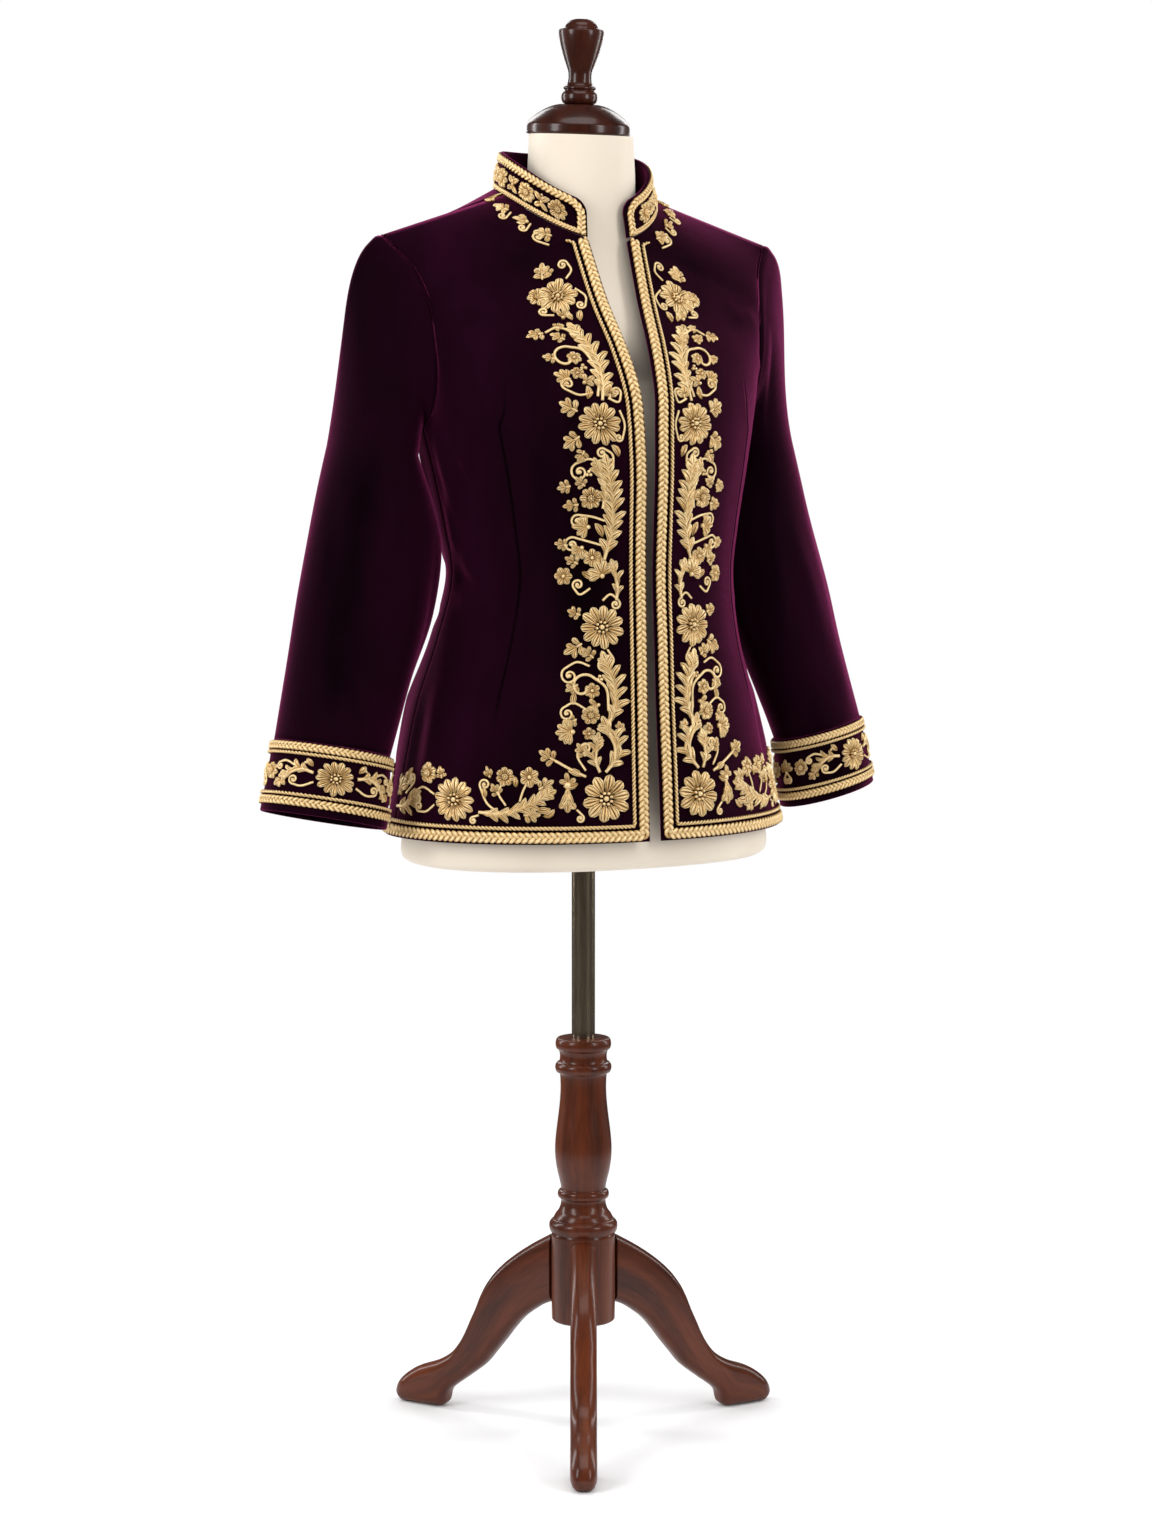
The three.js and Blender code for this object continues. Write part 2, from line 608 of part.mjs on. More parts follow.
// Place on a cuff: down is the distance from its top edge.
function placeOnCuff(side) {
  const length = CUFF_TOP_Z - CUFF_BOTTOM_Z;
  return (turn, down, height) => flip(ringPoint(ringBetween(CUFF, down / length), turn, height), side);
}
function cuffTrim(side, from, to) {
  const place = placeOnCuff(side);
  const section = [[from, 0.5], [from + 0.8, 2.6], [to - 0.8, 2.6], [to, 0.5]];
  const path = (i) => (down, height) => place((2 * Math.PI * i) / ARM_STEPS, down, height);
  return band(ARM_STEPS, path, section, true);
}

const CUFF_TRIMS = { top: [1, 12], bottom: [52, 64] };
[['right', -1], ['left', 1]].forEach(([name, side]) => {
  add(`sleeve_${name}`, outward(sleeve(side)), velvet);
  add(`cuff_${name}`, outward(cuff(side)), velvet);
  Object.entries(CUFF_TRIMS).forEach(([place, [from, to]]) => {
    add(`trim_cuff_${place}_${name}`, cuffTrim(side, from, to), gold);
  });
});

// ---------------------------------------------------------------- padded flowers
// A flower is drawn flat in mm and laid on the cloth by place(x, y, height).
function flower(radius, place) {
  const around = FLOWER.petals * 2;
  const rings = [
    { share: FLOWER.swell, notch: 0.9, height: FLOWER.high },
    { share: 1, notch: FLOWER.lobe, height: FLOWER.rim },
    { share: 1, notch: FLOWER.lobe, height: 0 },
  ];
  const points = [place(0, 0, TRIM_LIFT + FLOWER.high * 0.8)];
  rings.forEach(({ share, notch, height }) => {
    for (let i = 0; i < around; i += 1) {
      const a = (2 * Math.PI * i) / around;
      const r = radius * share * (i % 2 ? notch : 1);
      points.push(place(r * Math.cos(a), r * Math.sin(a), TRIM_LIFT + height));
    }
  });
  points.push(place(0, 0, TRIM_LIFT));
  const last = points.length - 1;
  const faces = [];
  for (let i = 0; i < around; i += 1) {
    const next = (i + 1) % around;
    faces.push([0, 1 + i, 1 + next]);
    for (let r = 0; r < rings.length - 1; r += 1) {
      const [a, b] = [1 + r * around + i, 1 + r * around + next];
      faces.push([a, a + around, b + around], [a, b + around, b]);
    }
    const base = 1 + (rings.length - 1) * around;
    faces.push([base + i, last, base + next]);
  }
  return outward(toGeometry(points, faces));
}

// Flowers on the fronts: distance from the front edge, height of the row at that edge, radius.
const FRONT_FLOWERS = [
  { name: 'neck', away: 52, z: 1180, radius: 19 },
  { name: 'bust', away: 48, z: 1045, radius: 20 },
  { name: 'waist', away: 46, z: 846, radius: 20 },
  { name: 'corner', away: 46, z: 678, radius: 22 },
  { name: 'hem', away: 200, z: 676, radius: 21 },
];
const BACK_FLOWERS = [
  { name: 'middle', side: 1, away: 0, z: 676, radius: 21 },
  { name: 'left', side: 1, away: 120, z: 676, radius: 21 },
  { name: 'right', side: -1, away: 120, z: 676, radius: 21 },
];

function panelFlower(rows, side, { away, z, radius }) {
  const place = placeOn(rows, side);
  const row = rowAtHeight(rows, z);
  const perMm = 0.5 / place(away, row - 0.25, 0).distanceTo(place(away, row + 0.25, 0));
  return flower(radius, (x, y, height) => place(away + x, row + y * perMm, height));
}
[['right', -1], ['left', 1]].forEach(([name, side]) => {
  FRONT_FLOWERS.forEach((spot) => {
    add(`flower_front_${spot.name}_${name}`, panelFlower(frontRows, side, spot), gold);
  });
});
BACK_FLOWERS.forEach((spot) => {
  if (spot.away > 0) {
    add(`flower_back_${spot.name}`, panelFlower(backRows, spot.side, spot), gold);
    return;
  }
  const [left, right] = [placeOn(backRows, 1), placeOn(backRows, -1)];
  const row = rowAtHeight(backRows, spot.z);
  const perMm = ROWS_BELOW / (ARMPIT_Z - HEM_Z);
  const place = (x, y, height) => (x < 0 ? right : left)(Math.abs(x), row + y * perMm, height);
  add(`flower_back_${spot.name}`, flower(spot.radius, place), gold);
});

// Flowers on the cuffs, front and back, and round the collar.
const CUFF_FLOWERS = { front: { turn: 78, radius: 17 }, back: { turn: 262, radius: 17 } };
const CUFF_FLOWER_DOWN = 32;
[['right', -1], ['left', 1]].forEach(([name, side]) => {
  Object.entries(CUFF_FLOWERS).forEach(([face, { turn, radius }]) => {
    const place = placeOnCuff(side);
    const perMm = 180 / (Math.PI * 54);
    const onCuff = (x, y, height) => place(radians(turn + x * perMm), CUFF_FLOWER_DOWN - y, height - 0.2);
    add(`flower_cuff_${face}_${name}`, flower(radius, onCuff), gold);
  });
});
const COLLAR_FLOWERS = { right: -62, half_right: -118, back: 180, half_left: 118, left: 62 };
Object.entries(COLLAR_FLOWERS).forEach(([name, round]) => {
  const perMm = 1 / collarLength(1);
  const onCollar = (x, y, height) => collarPoint((round + x * perMm + 360) % 360, 17 + y, height - 0.2);
  add(`flower_collar_${name}`, flower(8.5, onCollar), gold);
});

// ---------------------------------------------------------------- dress form
const FORM_STEPS = 28;
function formRing(level) {
  return Array.from({ length: FORM_STEPS }, (_, i) => {
    const a = (2 * Math.PI * i) / FORM_STEPS;
    const deep = Math.cos(a) > 0 ? level.back : level.front;
    const full = 1 - 0.12 * (level.half > 100 ? 1 : 0);
    const s = Math.sign(Math.sin(a)) * Math.abs(Math.sin(a)) ** full;
    const c = Math.sign(Math.cos(a)) * Math.abs(Math.cos(a)) ** full;
    return vec(level.half * s, deep * c, level.z);
  });
}
function dressForm() {
  const rows = FORM.map(formRing);
  const top = rows[rows.length - 1];
  top.forEach((p) => { p.z += (p.y - NECK_TOP.y) * Math.tan(radians(NECK_TOP.tilt)); });
  const points = [...rows.flat(), vec(0, 0, FORM[0].z), vec(0, NECK_TOP.y, FORM[FORM.length - 1].z)];
  const faces = gridTriangles(rows.length, FORM_STEPS, true);
  const [low, high] = [points.length - 2, points.length - 1];
  const start = (rows.length - 1) * FORM_STEPS;
  for (let i = 0; i < FORM_STEPS; i += 1) {
    const next = (i + 1) % FORM_STEPS;
    faces.push([low, next, i], [high, start + i, start + next]);
  }
  return outward(toGeometry(points, faces));
}
add('dress_form', dressForm(), jersey);

// ---------------------------------------------------------------- turned wood, pole and legs
function turned(profile, segments) {
  const geometry = new THREE.LatheGeometry(profile.map(([r, z]) => new THREE.Vector2(r, z)), segments);
  geometry.deleteAttribute('normal');
  geometry.deleteAttribute('uv');
  geometry.rotateX(Math.PI / 2);
  return outward(mergeVertices(geometry, 1e-3));
}
const onNeck = (mesh) => {
  mesh.position.set(0, NECK_TOP.y, NECK_TOP.z - 0.5);
  mesh.rotation.x = radians(NECK_TOP.tilt);
};
add('neck_cap', turned(CAP_PROFILE, 24), darkWood, onNeck);
add('finial', turned(FINIAL_PROFILE, 20), darkWood, onNeck);

function pole() {
  const geometry = new THREE.CylinderGeometry(POLE.radius, POLE.radius, POLE.top - POLE.bottom, 24);
  geometry.rotateX(Math.PI / 2);
  geometry.translate(0, 0, (POLE.top + POLE.bottom) / 2);
  return geometry;
}
add('pole', pole(), bronze);

const bottomOfColumn = COLUMN_PROFILE[0][1];
const topOfColumn = COLUMN_PROFILE[COLUMN_PROFILE.length - 1][1];
const columnProfile = [
  [POLE.bore, bottomOfColumn], ...COLUMN_PROFILE, [POLE.bore, topOfColumn], [POLE.bore, bottomOfColumn],
];
add('column', turned(columnProfile, 24), redWood);

const hubProfile = [
  [0, HUB.bottom], [HUB.radius - 3, HUB.bottom], [HUB.radius, HUB.bottom + 3], [HUB.radius, HUB.top],
  [POLE.bore, HUB.top], [POLE.bore, HUB.boreBottom], [0, HUB.boreBottom],
];
add('hub', turned(hubProfile, 24), redWood);

function leg() {
  const spline = (rows) => new THREE.SplineCurve(rows.map(([r, z]) => new THREE.Vector2(r, z)));
  const outline = [
    ...spline(LEG_TOP).getPoints(20),
    ...LEG_FOOT.map(([r, z]) => new THREE.Vector2(r, z)),
    ...spline(LEG_UNDER).getPoints(14),
  ];
  const shape = new THREE.Shape(outline);
  const geometry = new THREE.ExtrudeGeometry(shape, {
    depth: LEG.width - 2 * LEG.bevel,
    bevelEnabled: true,
    bevelSegments: 1,
    bevelSize: LEG.bevel,
    bevelThickness: LEG.bevel,
    bevelOffset: -LEG.bevel,
    curveSegments: 1,
  });
  geometry.translate(0, 0, LEG.bevel - LEG.width / 2);
  geometry.rotateX(Math.PI / 2);
  return geometry;
}
for (let i = 0; i < LEG.count; i += 1) {
  const name = ['front', 'left', 'right'][i];
  add(`leg_${name}`, leg(), redWood, (mesh) => {
    mesh.rotation.z = radians(LEG.frontAngle + (i * 360) / LEG.count);
  });
}

export default part;
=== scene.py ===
# %% [markdown]
# # A velvet karakou jacket on its dress form
# The jacket is a fitted velvet coat with a stand collar and two plain cuffs. Gold braid runs round every
# edge, and a border of padded gold flowers follows the braid. It stands on a limbless dress form with a
# wooden cap, a bronze pole and a turned wooden tripod. The construction model gives the sizes and the
# place of every piece. This lesson gives each piece its fine surface and its finish.

# %% Frame
import math
import bpy
import numpy as np
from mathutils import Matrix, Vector


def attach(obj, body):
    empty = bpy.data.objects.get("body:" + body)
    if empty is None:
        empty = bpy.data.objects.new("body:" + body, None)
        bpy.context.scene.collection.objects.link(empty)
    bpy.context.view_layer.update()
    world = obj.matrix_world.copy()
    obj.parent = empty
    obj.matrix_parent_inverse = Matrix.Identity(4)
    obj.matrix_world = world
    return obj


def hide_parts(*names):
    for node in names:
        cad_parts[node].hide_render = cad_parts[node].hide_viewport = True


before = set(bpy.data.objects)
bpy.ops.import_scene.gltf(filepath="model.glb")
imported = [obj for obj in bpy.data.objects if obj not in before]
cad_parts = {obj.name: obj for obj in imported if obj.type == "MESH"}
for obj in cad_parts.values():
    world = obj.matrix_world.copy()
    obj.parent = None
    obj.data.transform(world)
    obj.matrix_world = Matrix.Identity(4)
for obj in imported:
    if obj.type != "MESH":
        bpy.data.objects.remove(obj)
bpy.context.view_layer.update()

MM = 0.001
scene = bpy.context.scene

# %% [markdown]
# ## Camera and light
# The coat is seen from its right front, a little from above its middle, through a long lens. A real
# studio would put two tall soft boxes in front and a strip on each side. The two boxes draw the pair of
# long highlights on the turned wood, and the strips graze the velvet's nap, so its edges glow plum.

# %% Camera
CAMERA = {"turn": 27.0, "distance": 3.55, "height": 1.038, "down": 5.55, "aside": 0.0076}
LENS_PIXELS, FRAME_PIXELS, SENSOR = 3475, 1536, 36.0


def add_camera():
    """Camera at distance D and height H, turned from the front by an angle a: it stands at -D (sin a, cos a)."""
    turn = math.radians(CAMERA["turn"])
    ahead = Vector((math.sin(turn), math.cos(turn), 0))
    right = Vector((math.cos(turn), -math.sin(turn), 0))
    camera = bpy.data.objects.new("camera", bpy.data.cameras.new("camera"))
    camera.location = -CAMERA["distance"] * ahead - CAMERA["aside"] * right
    camera.location.z = CAMERA["height"]
    camera.rotation_euler = (math.radians(90 - CAMERA["down"]), 0, -turn)
    camera.data.sensor_width = SENSOR
    camera.data.lens = LENS_PIXELS / FRAME_PIXELS * SENSOR
    scene.collection.objects.link(camera)
    scene.camera = camera
    return camera


print("camera at", [round(x, 3) for x in add_camera().location])

# %% Lights
LIGHT_AIM = Vector((0, 0, 0.9))
# name, turn round the object from the camera (degrees, + to the right), height above it, distance,
# width, tall, watts
LIGHTS = [
    ("box_left", -52, 20, 2.6, 0.7, 1.9, 38),
    ("box_right", 50, 16, 2.7, 0.6, 1.9, 28),
    ("strip_left", -112, 12, 2.2, 0.4, 1.9, 24),
    ("strip_right", 112, 12, 2.2, 0.4, 1.9, 18),
    ("overhead", 10, 74, 2.6, 1.8, 1.8, 28),
    ("back_left", -160, 24, 2.4, 0.5, 1.6, 12),
    ("back_right", 160, 24, 2.4, 0.5, 1.6, 12),
]


def add_light(name, turn, up, distance, width, tall, watts):
    """Area light on a sphere about the aim: direction from the camera's own, turned and raised."""
    angle = math.radians(turn - CAMERA["turn"])
    rise = math.radians(up)
    away = Vector((math.sin(angle) * math.cos(rise), -math.cos(angle) * math.cos(rise), math.sin(rise)))
    light = bpy.data.objects.new(name, bpy.data.lights.new(name, "AREA"))
    light.data.shape = "RECTANGLE"
    light.data.size = width
    light.data.size_y = tall
    light.data.energy = watts
    light.location = LIGHT_AIM + away * distance
    light.rotation_euler = (-away).to_track_quat("-Z", "Y").to_euler()
    scene.collection.objects.link(light)


for row in LIGHTS:
    add_light(*row)

WORLD_LIGHT, WORLD_GLOSS, WORLD_SEEN = 0.58, 0.05, 1.0


def add_world():
    """White room: one strength for the light it sheds, less in reflections, plain white for the camera."""
    world = bpy.data.worlds.new("white room")
    world.use_nodes = True
    nodes, links = world.node_tree.nodes, world.node_tree.links
    nodes.clear()
    path, out = nodes.new("ShaderNodeLightPath"), nodes.new("ShaderNodeOutputWorld")
    shown = None
    for strength, ray in ((WORLD_LIGHT, None), (WORLD_GLOSS, "Is Glossy Ray"), (WORLD_SEEN, "Is Camera Ray")):
        white = nodes.new("ShaderNodeBackground")
        white.inputs["Color"].default_value = (1, 1, 1, 1)
        white.inputs["Strength"].default_value = strength
        if shown is None:
            shown = white.outputs[0]
            continue
        mix = nodes.new("ShaderNodeMixShader")
        links.new(path.outputs[ray], mix.inputs["Fac"])
        links.new(shown, mix.inputs[1])
        links.new(white.outputs[0], mix.inputs[2])
        shown = mix.outputs[0]
    links.new(shown, out.inputs["Surface"])
    scene.world = world


add_world()
scene.view_settings.view_transform = "Standard"
print("lights:", len(LIGHTS))

# %% [markdown]
# ## Tables and curves
# A pattern cutter notes a garment as a short table: at each height, how far the cloth stands from the
# middle. A cubic through the rows gives every height in between. All sizes here are millimetres, and
# they become metres only when a mesh is made.

# %% Tables


def table(names, *rows):
    """Rows of numbers as one array for each named column; the first column is the key."""
    return dict(zip(names.split(), np.array(rows, float).T))


def between(rows, place, name):
    """Cubic through the rows of a table, its slope at a row that of the chord between the row's neighbours."""
    keys, values = next(iter(rows.values())), rows[name]
    count = np.arange(len(keys))
    low, high = np.maximum(count - 1, 0), np.minimum(count + 1, len(keys) - 1)
    slope = (values[high] - values[low]) / (keys[high] - keys[low])
    i = np.clip(np.searchsorted(keys, place, side="right") - 1, 0, len(keys) - 2)
    span = keys[i + 1] - keys[i]
    t = np.clip((place - keys[i]) / span, 0, 1)
    a, b, p, q = values[i], values[i + 1], slope[i] * span, slope[i + 1] * span
    return a + p * t + (3 * (b - a) - 2 * p - q) * t**2 + (2 * (a - b) + p + q) * t**3


def xyz(*parts):
    """Three arrays of any matching shapes as one array of points."""
    return np.stack(np.broadcast_arrays(*parts), axis=-1).astype(float)


def unit(vectors):
    """Vectors divided by their own length."""
    return vectors / np.maximum(np.linalg.norm(vectors, axis=-1, keepdims=True), 1e-9)


def smooth_line(points, steps):
    """Catmull-Rom curve through 2-D or 3-D points, a fixed number of steps from each point to the next."""
    p = np.asarray(points, float)
    p = np.vstack([2 * p[0] - p[1], p, 2 * p[-1] - p[-2]])
    t = (np.arange(steps) / steps)[:, None]
    a, b, c, d = (p[k : len(p) - 3 + k, None, :] for k in range(4))
    curve = 0.5 * (2 * b + (c - a) * t + (2 * a - 5 * b + 4 * c - d) * t**2 + (3 * b - a - 3 * c + d) * t**3)
    return np.vstack([curve.reshape(-1, p.shape[1]), p[-2]])


def even_line(points, count):
    """Line resampled to a number of points at equal distances."""
    reach = np.pad(np.linalg.norm(np.diff(points, axis=0), axis=-1).cumsum(), (1, 0))
    even = np.linspace(0, reach[-1], count)
    return np.stack([np.interp(even, reach, points[:, k]) for k in range(points.shape[1])], axis=-1)


def path_length(points):
    """Sum of the distances from each point of a line to the next."""
    return float(np.linalg.norm(np.diff(np.asarray(points, float), axis=0), axis=-1).sum())


print("tables ready")

# %% [markdown]
# ## From arrays to meshes
# Every new piece is a grid of points worked out at once, joined by four-sided faces. A wall of cloth is
# the same grid twice, the second one moved in by the cloth's thickness, with a strip between them round
# the rim, its middle pushed out to round it where a turn is given.

# %% Mesh helpers


def grid_faces(rows, columns, wrap_rows=False, wrap_columns=False):
    """Four corners of each cell of a grid whose points are numbered row by row."""
    r = np.arange(rows if wrap_rows else rows - 1)[:, None]
    c = np.arange(columns if wrap_columns else columns - 1)[None, :]
    r2, c2 = (r + 1) % rows, (c + 1) % columns
    corners = [r * columns + c, r * columns + c2, r2 * columns + c2, r2 * columns + c]
    return np.stack(corners, axis=-1).reshape(-1, 4)


def add_mesh(name, points, faces, triangles=None, uv=None, values=None):
    """Mesh from points in millimetres, four-sided faces and triangles. uv and values hold one row a point."""
    points = np.asarray(points, float).reshape(-1, 3)
    triangles = np.zeros((0, 3), int) if triangles is None else np.asarray(triangles)
    corners = np.concatenate([np.ravel(faces), np.ravel(triangles)]).astype(np.int32)
    sizes = np.concatenate([np.full(len(faces), 4), np.full(len(triangles), 3)])
    mesh = bpy.data.meshes.new(name)
    mesh.vertices.add(len(points))
    mesh.vertices.foreach_set("co", (points * MM).ravel())
    mesh.loops.add(len(corners))
    mesh.loops.foreach_set("vertex_index", corners)
    mesh.polygons.add(len(sizes))
    mesh.polygons.foreach_set("loop_start", np.concatenate([[0], np.cumsum(sizes)[:-1]]).astype(np.int32))
    mesh.polygons.foreach_set("use_smooth", np.ones(len(sizes), bool))
    if uv is not None:
        layer = mesh.uv_layers.new(name="UVMap")
        layer.data.foreach_set("uv", np.asarray(uv, float).reshape(-1, 2)[corners].ravel())
    for key, value in (values or {}).items():
        kind, field = ("FLOAT_VECTOR", "vector") if np.ndim(value) > 1 else ("FLOAT", "value")
        mesh.attributes.new(key, kind, "POINT").data.foreach_set(field, np.ravel(value).astype(np.float32))
    mesh.update(calc_edges=True)
    mesh.validate()
    piece = bpy.data.objects.new(name, mesh)
    scene.collection.objects.link(piece)
    return piece


def grid_normals(points, wrap_columns=False):
    """Unit normals of a grid: the slope along the columns crossed with the slope along the rows."""
    if wrap_columns:
        across = np.roll(points, -1, axis=1) - np.roll(points, 1, axis=1)
    else:
        across = np.gradient(points, axis=1)
    along = np.gradient(points, axis=0)
    return unit(np.cross(across, along))


def point_out(piece):
    """Turns the faces of a closed body outwards if its volume comes out negative."""
    mesh = piece.data
    corners = np.zeros(len(mesh.loops), np.int32)
    mesh.loops.foreach_get("vertex_index", corners)
    points = np.zeros(len(mesh.vertices) * 3)
    mesh.vertices.foreach_get("co", points)
    points = points.reshape(-1, 3)
    starts, sizes = np.zeros(len(mesh.polygons), np.int32), np.zeros(len(mesh.polygons), np.int32)
    mesh.polygons.foreach_get("loop_start", starts)
    mesh.polygons.foreach_get("loop_total", sizes)
    a, b, c = (points[corners[starts + k]] for k in range(3))
    volume = (a * np.cross(b, c)).sum()
    four = sizes == 4
    d = points[corners[starts[four] + 3]]
    volume += (a[four] * np.cross(c[four], d)).sum()
    if volume < 0:
        mesh.flip_normals()
    return piece


def finish(piece, material, body, nodes=()):
    """Gives a piece its finish, the body that carries it, its slot and the solids that it stands for."""
    piece.data.materials.append(material)
    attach(piece, body)
    if nodes:
        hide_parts(*nodes)
    print(f"{piece.name}: {len(piece.data.polygons)} faces")
    return piece


# %% [markdown]
# ## Finishes
# Effects that several finishes share are node groups: fine fibre, thread lines and wood grain. Each
# group only gives a mask or a height, and every material sets its own colours, roughness and sheen.

# %% Node groups


def new_group(name, inputs, outputs):
    """Empty shader node group with float or colour sockets, and its input and output nodes."""
    group = bpy.data.node_groups.new(name, "ShaderNodeTree")
    for label, kind, value in inputs:
        socket = group.interface.new_socket(label, in_out="INPUT", socket_type=kind)
        if value is not None:
            socket.default_value = value
    for label in outputs:
        group.interface.new_socket(label, in_out="OUTPUT", socket_type="NodeSocketFloat")
    return group, group.nodes.new("NodeGroupInput"), group.nodes.new("NodeGroupOutput")


def noise(nodes, scale, detail=3.0, rough=0.55):
    """Noise texture; a larger scale gives a finer pattern."""
    node = nodes.new("ShaderNodeTexNoise")
    node.inputs["Scale"].default_value = scale
    node.inputs["Detail"].default_value = detail
    node.inputs["Roughness"].default_value = rough
    return node


def maths(nodes, links, operation, first, second):
    """One step of arithmetic on two numbers or sockets."""
    node = nodes.new("ShaderNodeMath")
    node.operation = operation
    for socket, value in zip(node.inputs, (first, second)):
        if isinstance(value, (int, float)):
            socket.default_value = value
        else:
            links.new(value, socket)
    return node.outputs[0]


def fibre_group():
    """Pile of a cloth: fine noise for the fibres, and slow noise drawn out downwards into streaks for the way the nap
    lies; on the velvet they are painted sheen.
    """
    group, put, out = new_group(
        "fibre", [("Vector", "NodeSocketVector", None), ("Fineness", "NodeSocketFloat", 900.0)], ["Pile", "Brushed"]
    )
    nodes, links = group.nodes, group.links
    fine, slow = noise(nodes, 900.0, 4.0, 0.7), noise(nodes, 9.0, 3.0)
    links.new(put.outputs["Vector"], fine.inputs["Vector"])
    links.new(put.outputs["Fineness"], fine.inputs["Scale"])
    drawn = nodes.new("ShaderNodeMapping")
    drawn.inputs["Scale"].default_value = (1.0, 1.0, 0.38)
    links.new(put.outputs["Vector"], drawn.inputs["Vector"])
    links.new(drawn.outputs["Vector"], slow.inputs["Vector"])
    links.new(fine.outputs["Fac"], out.inputs["Pile"])
    links.new(slow.outputs["Fac"], out.inputs["Brushed"])
    return group


def thread_group():
    """Laid threads: a sine across the UV map, whose first axis counts millimetres across the threads."""
    group, put, out = new_group(
        "threads", [("Vector", "NodeSocketVector", None), ("Pitch", "NodeSocketFloat", 0.9)], ["Thread", "Uneven"]
    )
    nodes, links = group.nodes, group.links
    split = nodes.new("ShaderNodeSeparateXYZ")
    links.new(put.outputs["Vector"], split.inputs[0])
    wobble = noise(nodes, 0.6, 2.0)
    links.new(put.outputs["Vector"], wobble.inputs["Vector"])
    bent = maths(nodes, links, "MULTIPLY_ADD", wobble.outputs["Fac"], 1.2)
    links.new(split.outputs["X"], bent.node.inputs[2])
    turns = maths(nodes, links, "DIVIDE", bent, put.outputs["Pitch"])
    angle = maths(nodes, links, "MULTIPLY", turns, 2 * math.pi)
    wave = maths(nodes, links, "SINE", angle, 0.0)
    thread = maths(nodes, links, "MULTIPLY_ADD", wave, 0.5)
    thread.node.inputs[2].default_value = 0.5
    uneven = noise(nodes, 1.1, 3.0)
    links.new(put.outputs["Vector"], uneven.inputs["Vector"])
    links.new(thread, out.inputs["Thread"])
    links.new(uneven.outputs["Fac"], out.inputs["Uneven"])
    return group


def grain_group():
    """Wood grain: noise on the piece's run attribute, drawn out along its first axis."""
    group, put, out = new_group("grain", [("Scale", "NodeSocketFloat", 1.0)], ["Grain", "Pore"])
    nodes, links = group.nodes, group.links
    run = nodes.new("ShaderNodeAttribute")
    run.attribute_name = "run"
    stretched = nodes.new("ShaderNodeMapping")
    stretched.inputs["Scale"].default_value = (0.09, 1.0, 1.0)
    links.new(run.outputs["Vector"], stretched.inputs["Vector"])
    figure, pore = noise(nodes, 42.0, 5.0, 0.6), noise(nodes, 420.0, 3.0, 0.6)
    for node in (figure, pore):
        links.new(stretched.outputs["Vector"], node.inputs["Vector"])
    scaled = maths(nodes, links, "MULTIPLY", put.outputs["Scale"], 42.0)
    links.new(scaled, figure.inputs["Scale"])
    links.new(figure.outputs["Fac"], out.inputs["Grain"])
    links.new(pore.outputs["Fac"], out.inputs["Pore"])
    return group


FIBRE, THREADS, GRAIN = fibre_group(), thread_group(), grain_group()
print("groups:", FIBRE.name, THREADS.name, GRAIN.name)

# %% Material helpers


def new_material(name):
    """Material with one Principled shader; gives the material, its nodes, its links and the shader."""
    material = bpy.data.materials.new(name)
    material.use_nodes = True
    nodes, links = material.node_tree.nodes, material.node_tree.links
    return material, nodes, links, nodes["Principled BSDF"]


def place_group(nodes, group, **values):
    """A shared group placed in a material, with the material's own values."""
    node = nodes.new("ShaderNodeGroup")
    node.node_tree = group
    for label, value in values.items():
        node.inputs[label].default_value = value
    return node


def ramp(nodes, links, mask, *stops):
    """Colour ramp on a mask: each stop is a position and a linear colour."""
    node = nodes.new("ShaderNodeValToRGB")
    links.new(mask, node.inputs["Fac"])
    steps = node.color_ramp.elements
    while len(steps) < len(stops):
        steps.new(0.5)
    for step, (position, colour) in zip(steps, stops):
        step.position = position
        step.color = (*colour, 1)
    return node.outputs["Color"]


def bump(nodes, links, shader, height, distance, strength=1.0):
    """Bump node from a height mask to the shader's normal; distance in metres."""
    node = nodes.new("ShaderNodeBump")
    node.inputs["Distance"].default_value = distance
    node.inputs["Strength"].default_value = strength
    links.new(height, node.inputs["Height"])
    links.new(node.outputs["Normal"], shader.inputs["Normal"])


def set_shader(shader, **values):
    """Constants on the shader's sockets, an underscore standing for a space."""
    for label, value in values.items():
        shader.inputs[label.replace("_", " ")].default_value = value


# %% [markdown]
# ## Velvet
# Velvet is a cut pile: seen straight on it swallows light, and at a grazing angle the fibres catch it.
# The base is therefore a very dark aubergine, and the glow comes from a strong plum sheen. Slow noise
# lightens and darkens the base colour a little in long streaks, as painted sheen where a hand has left
# marks in the nap. The dart and the rolled seams are darkened with painted shade.

# %% Velvet
VELVET_DARK, VELVET_LIGHT = (0.0014, 0.0001, 0.0008), (0.0125, 0.001, 0.0068)
VELVET_SHEEN = (0.56, 0.065, 0.25)
PILE_FINENESS, PILE_SHARE = 1400.0, 0.3


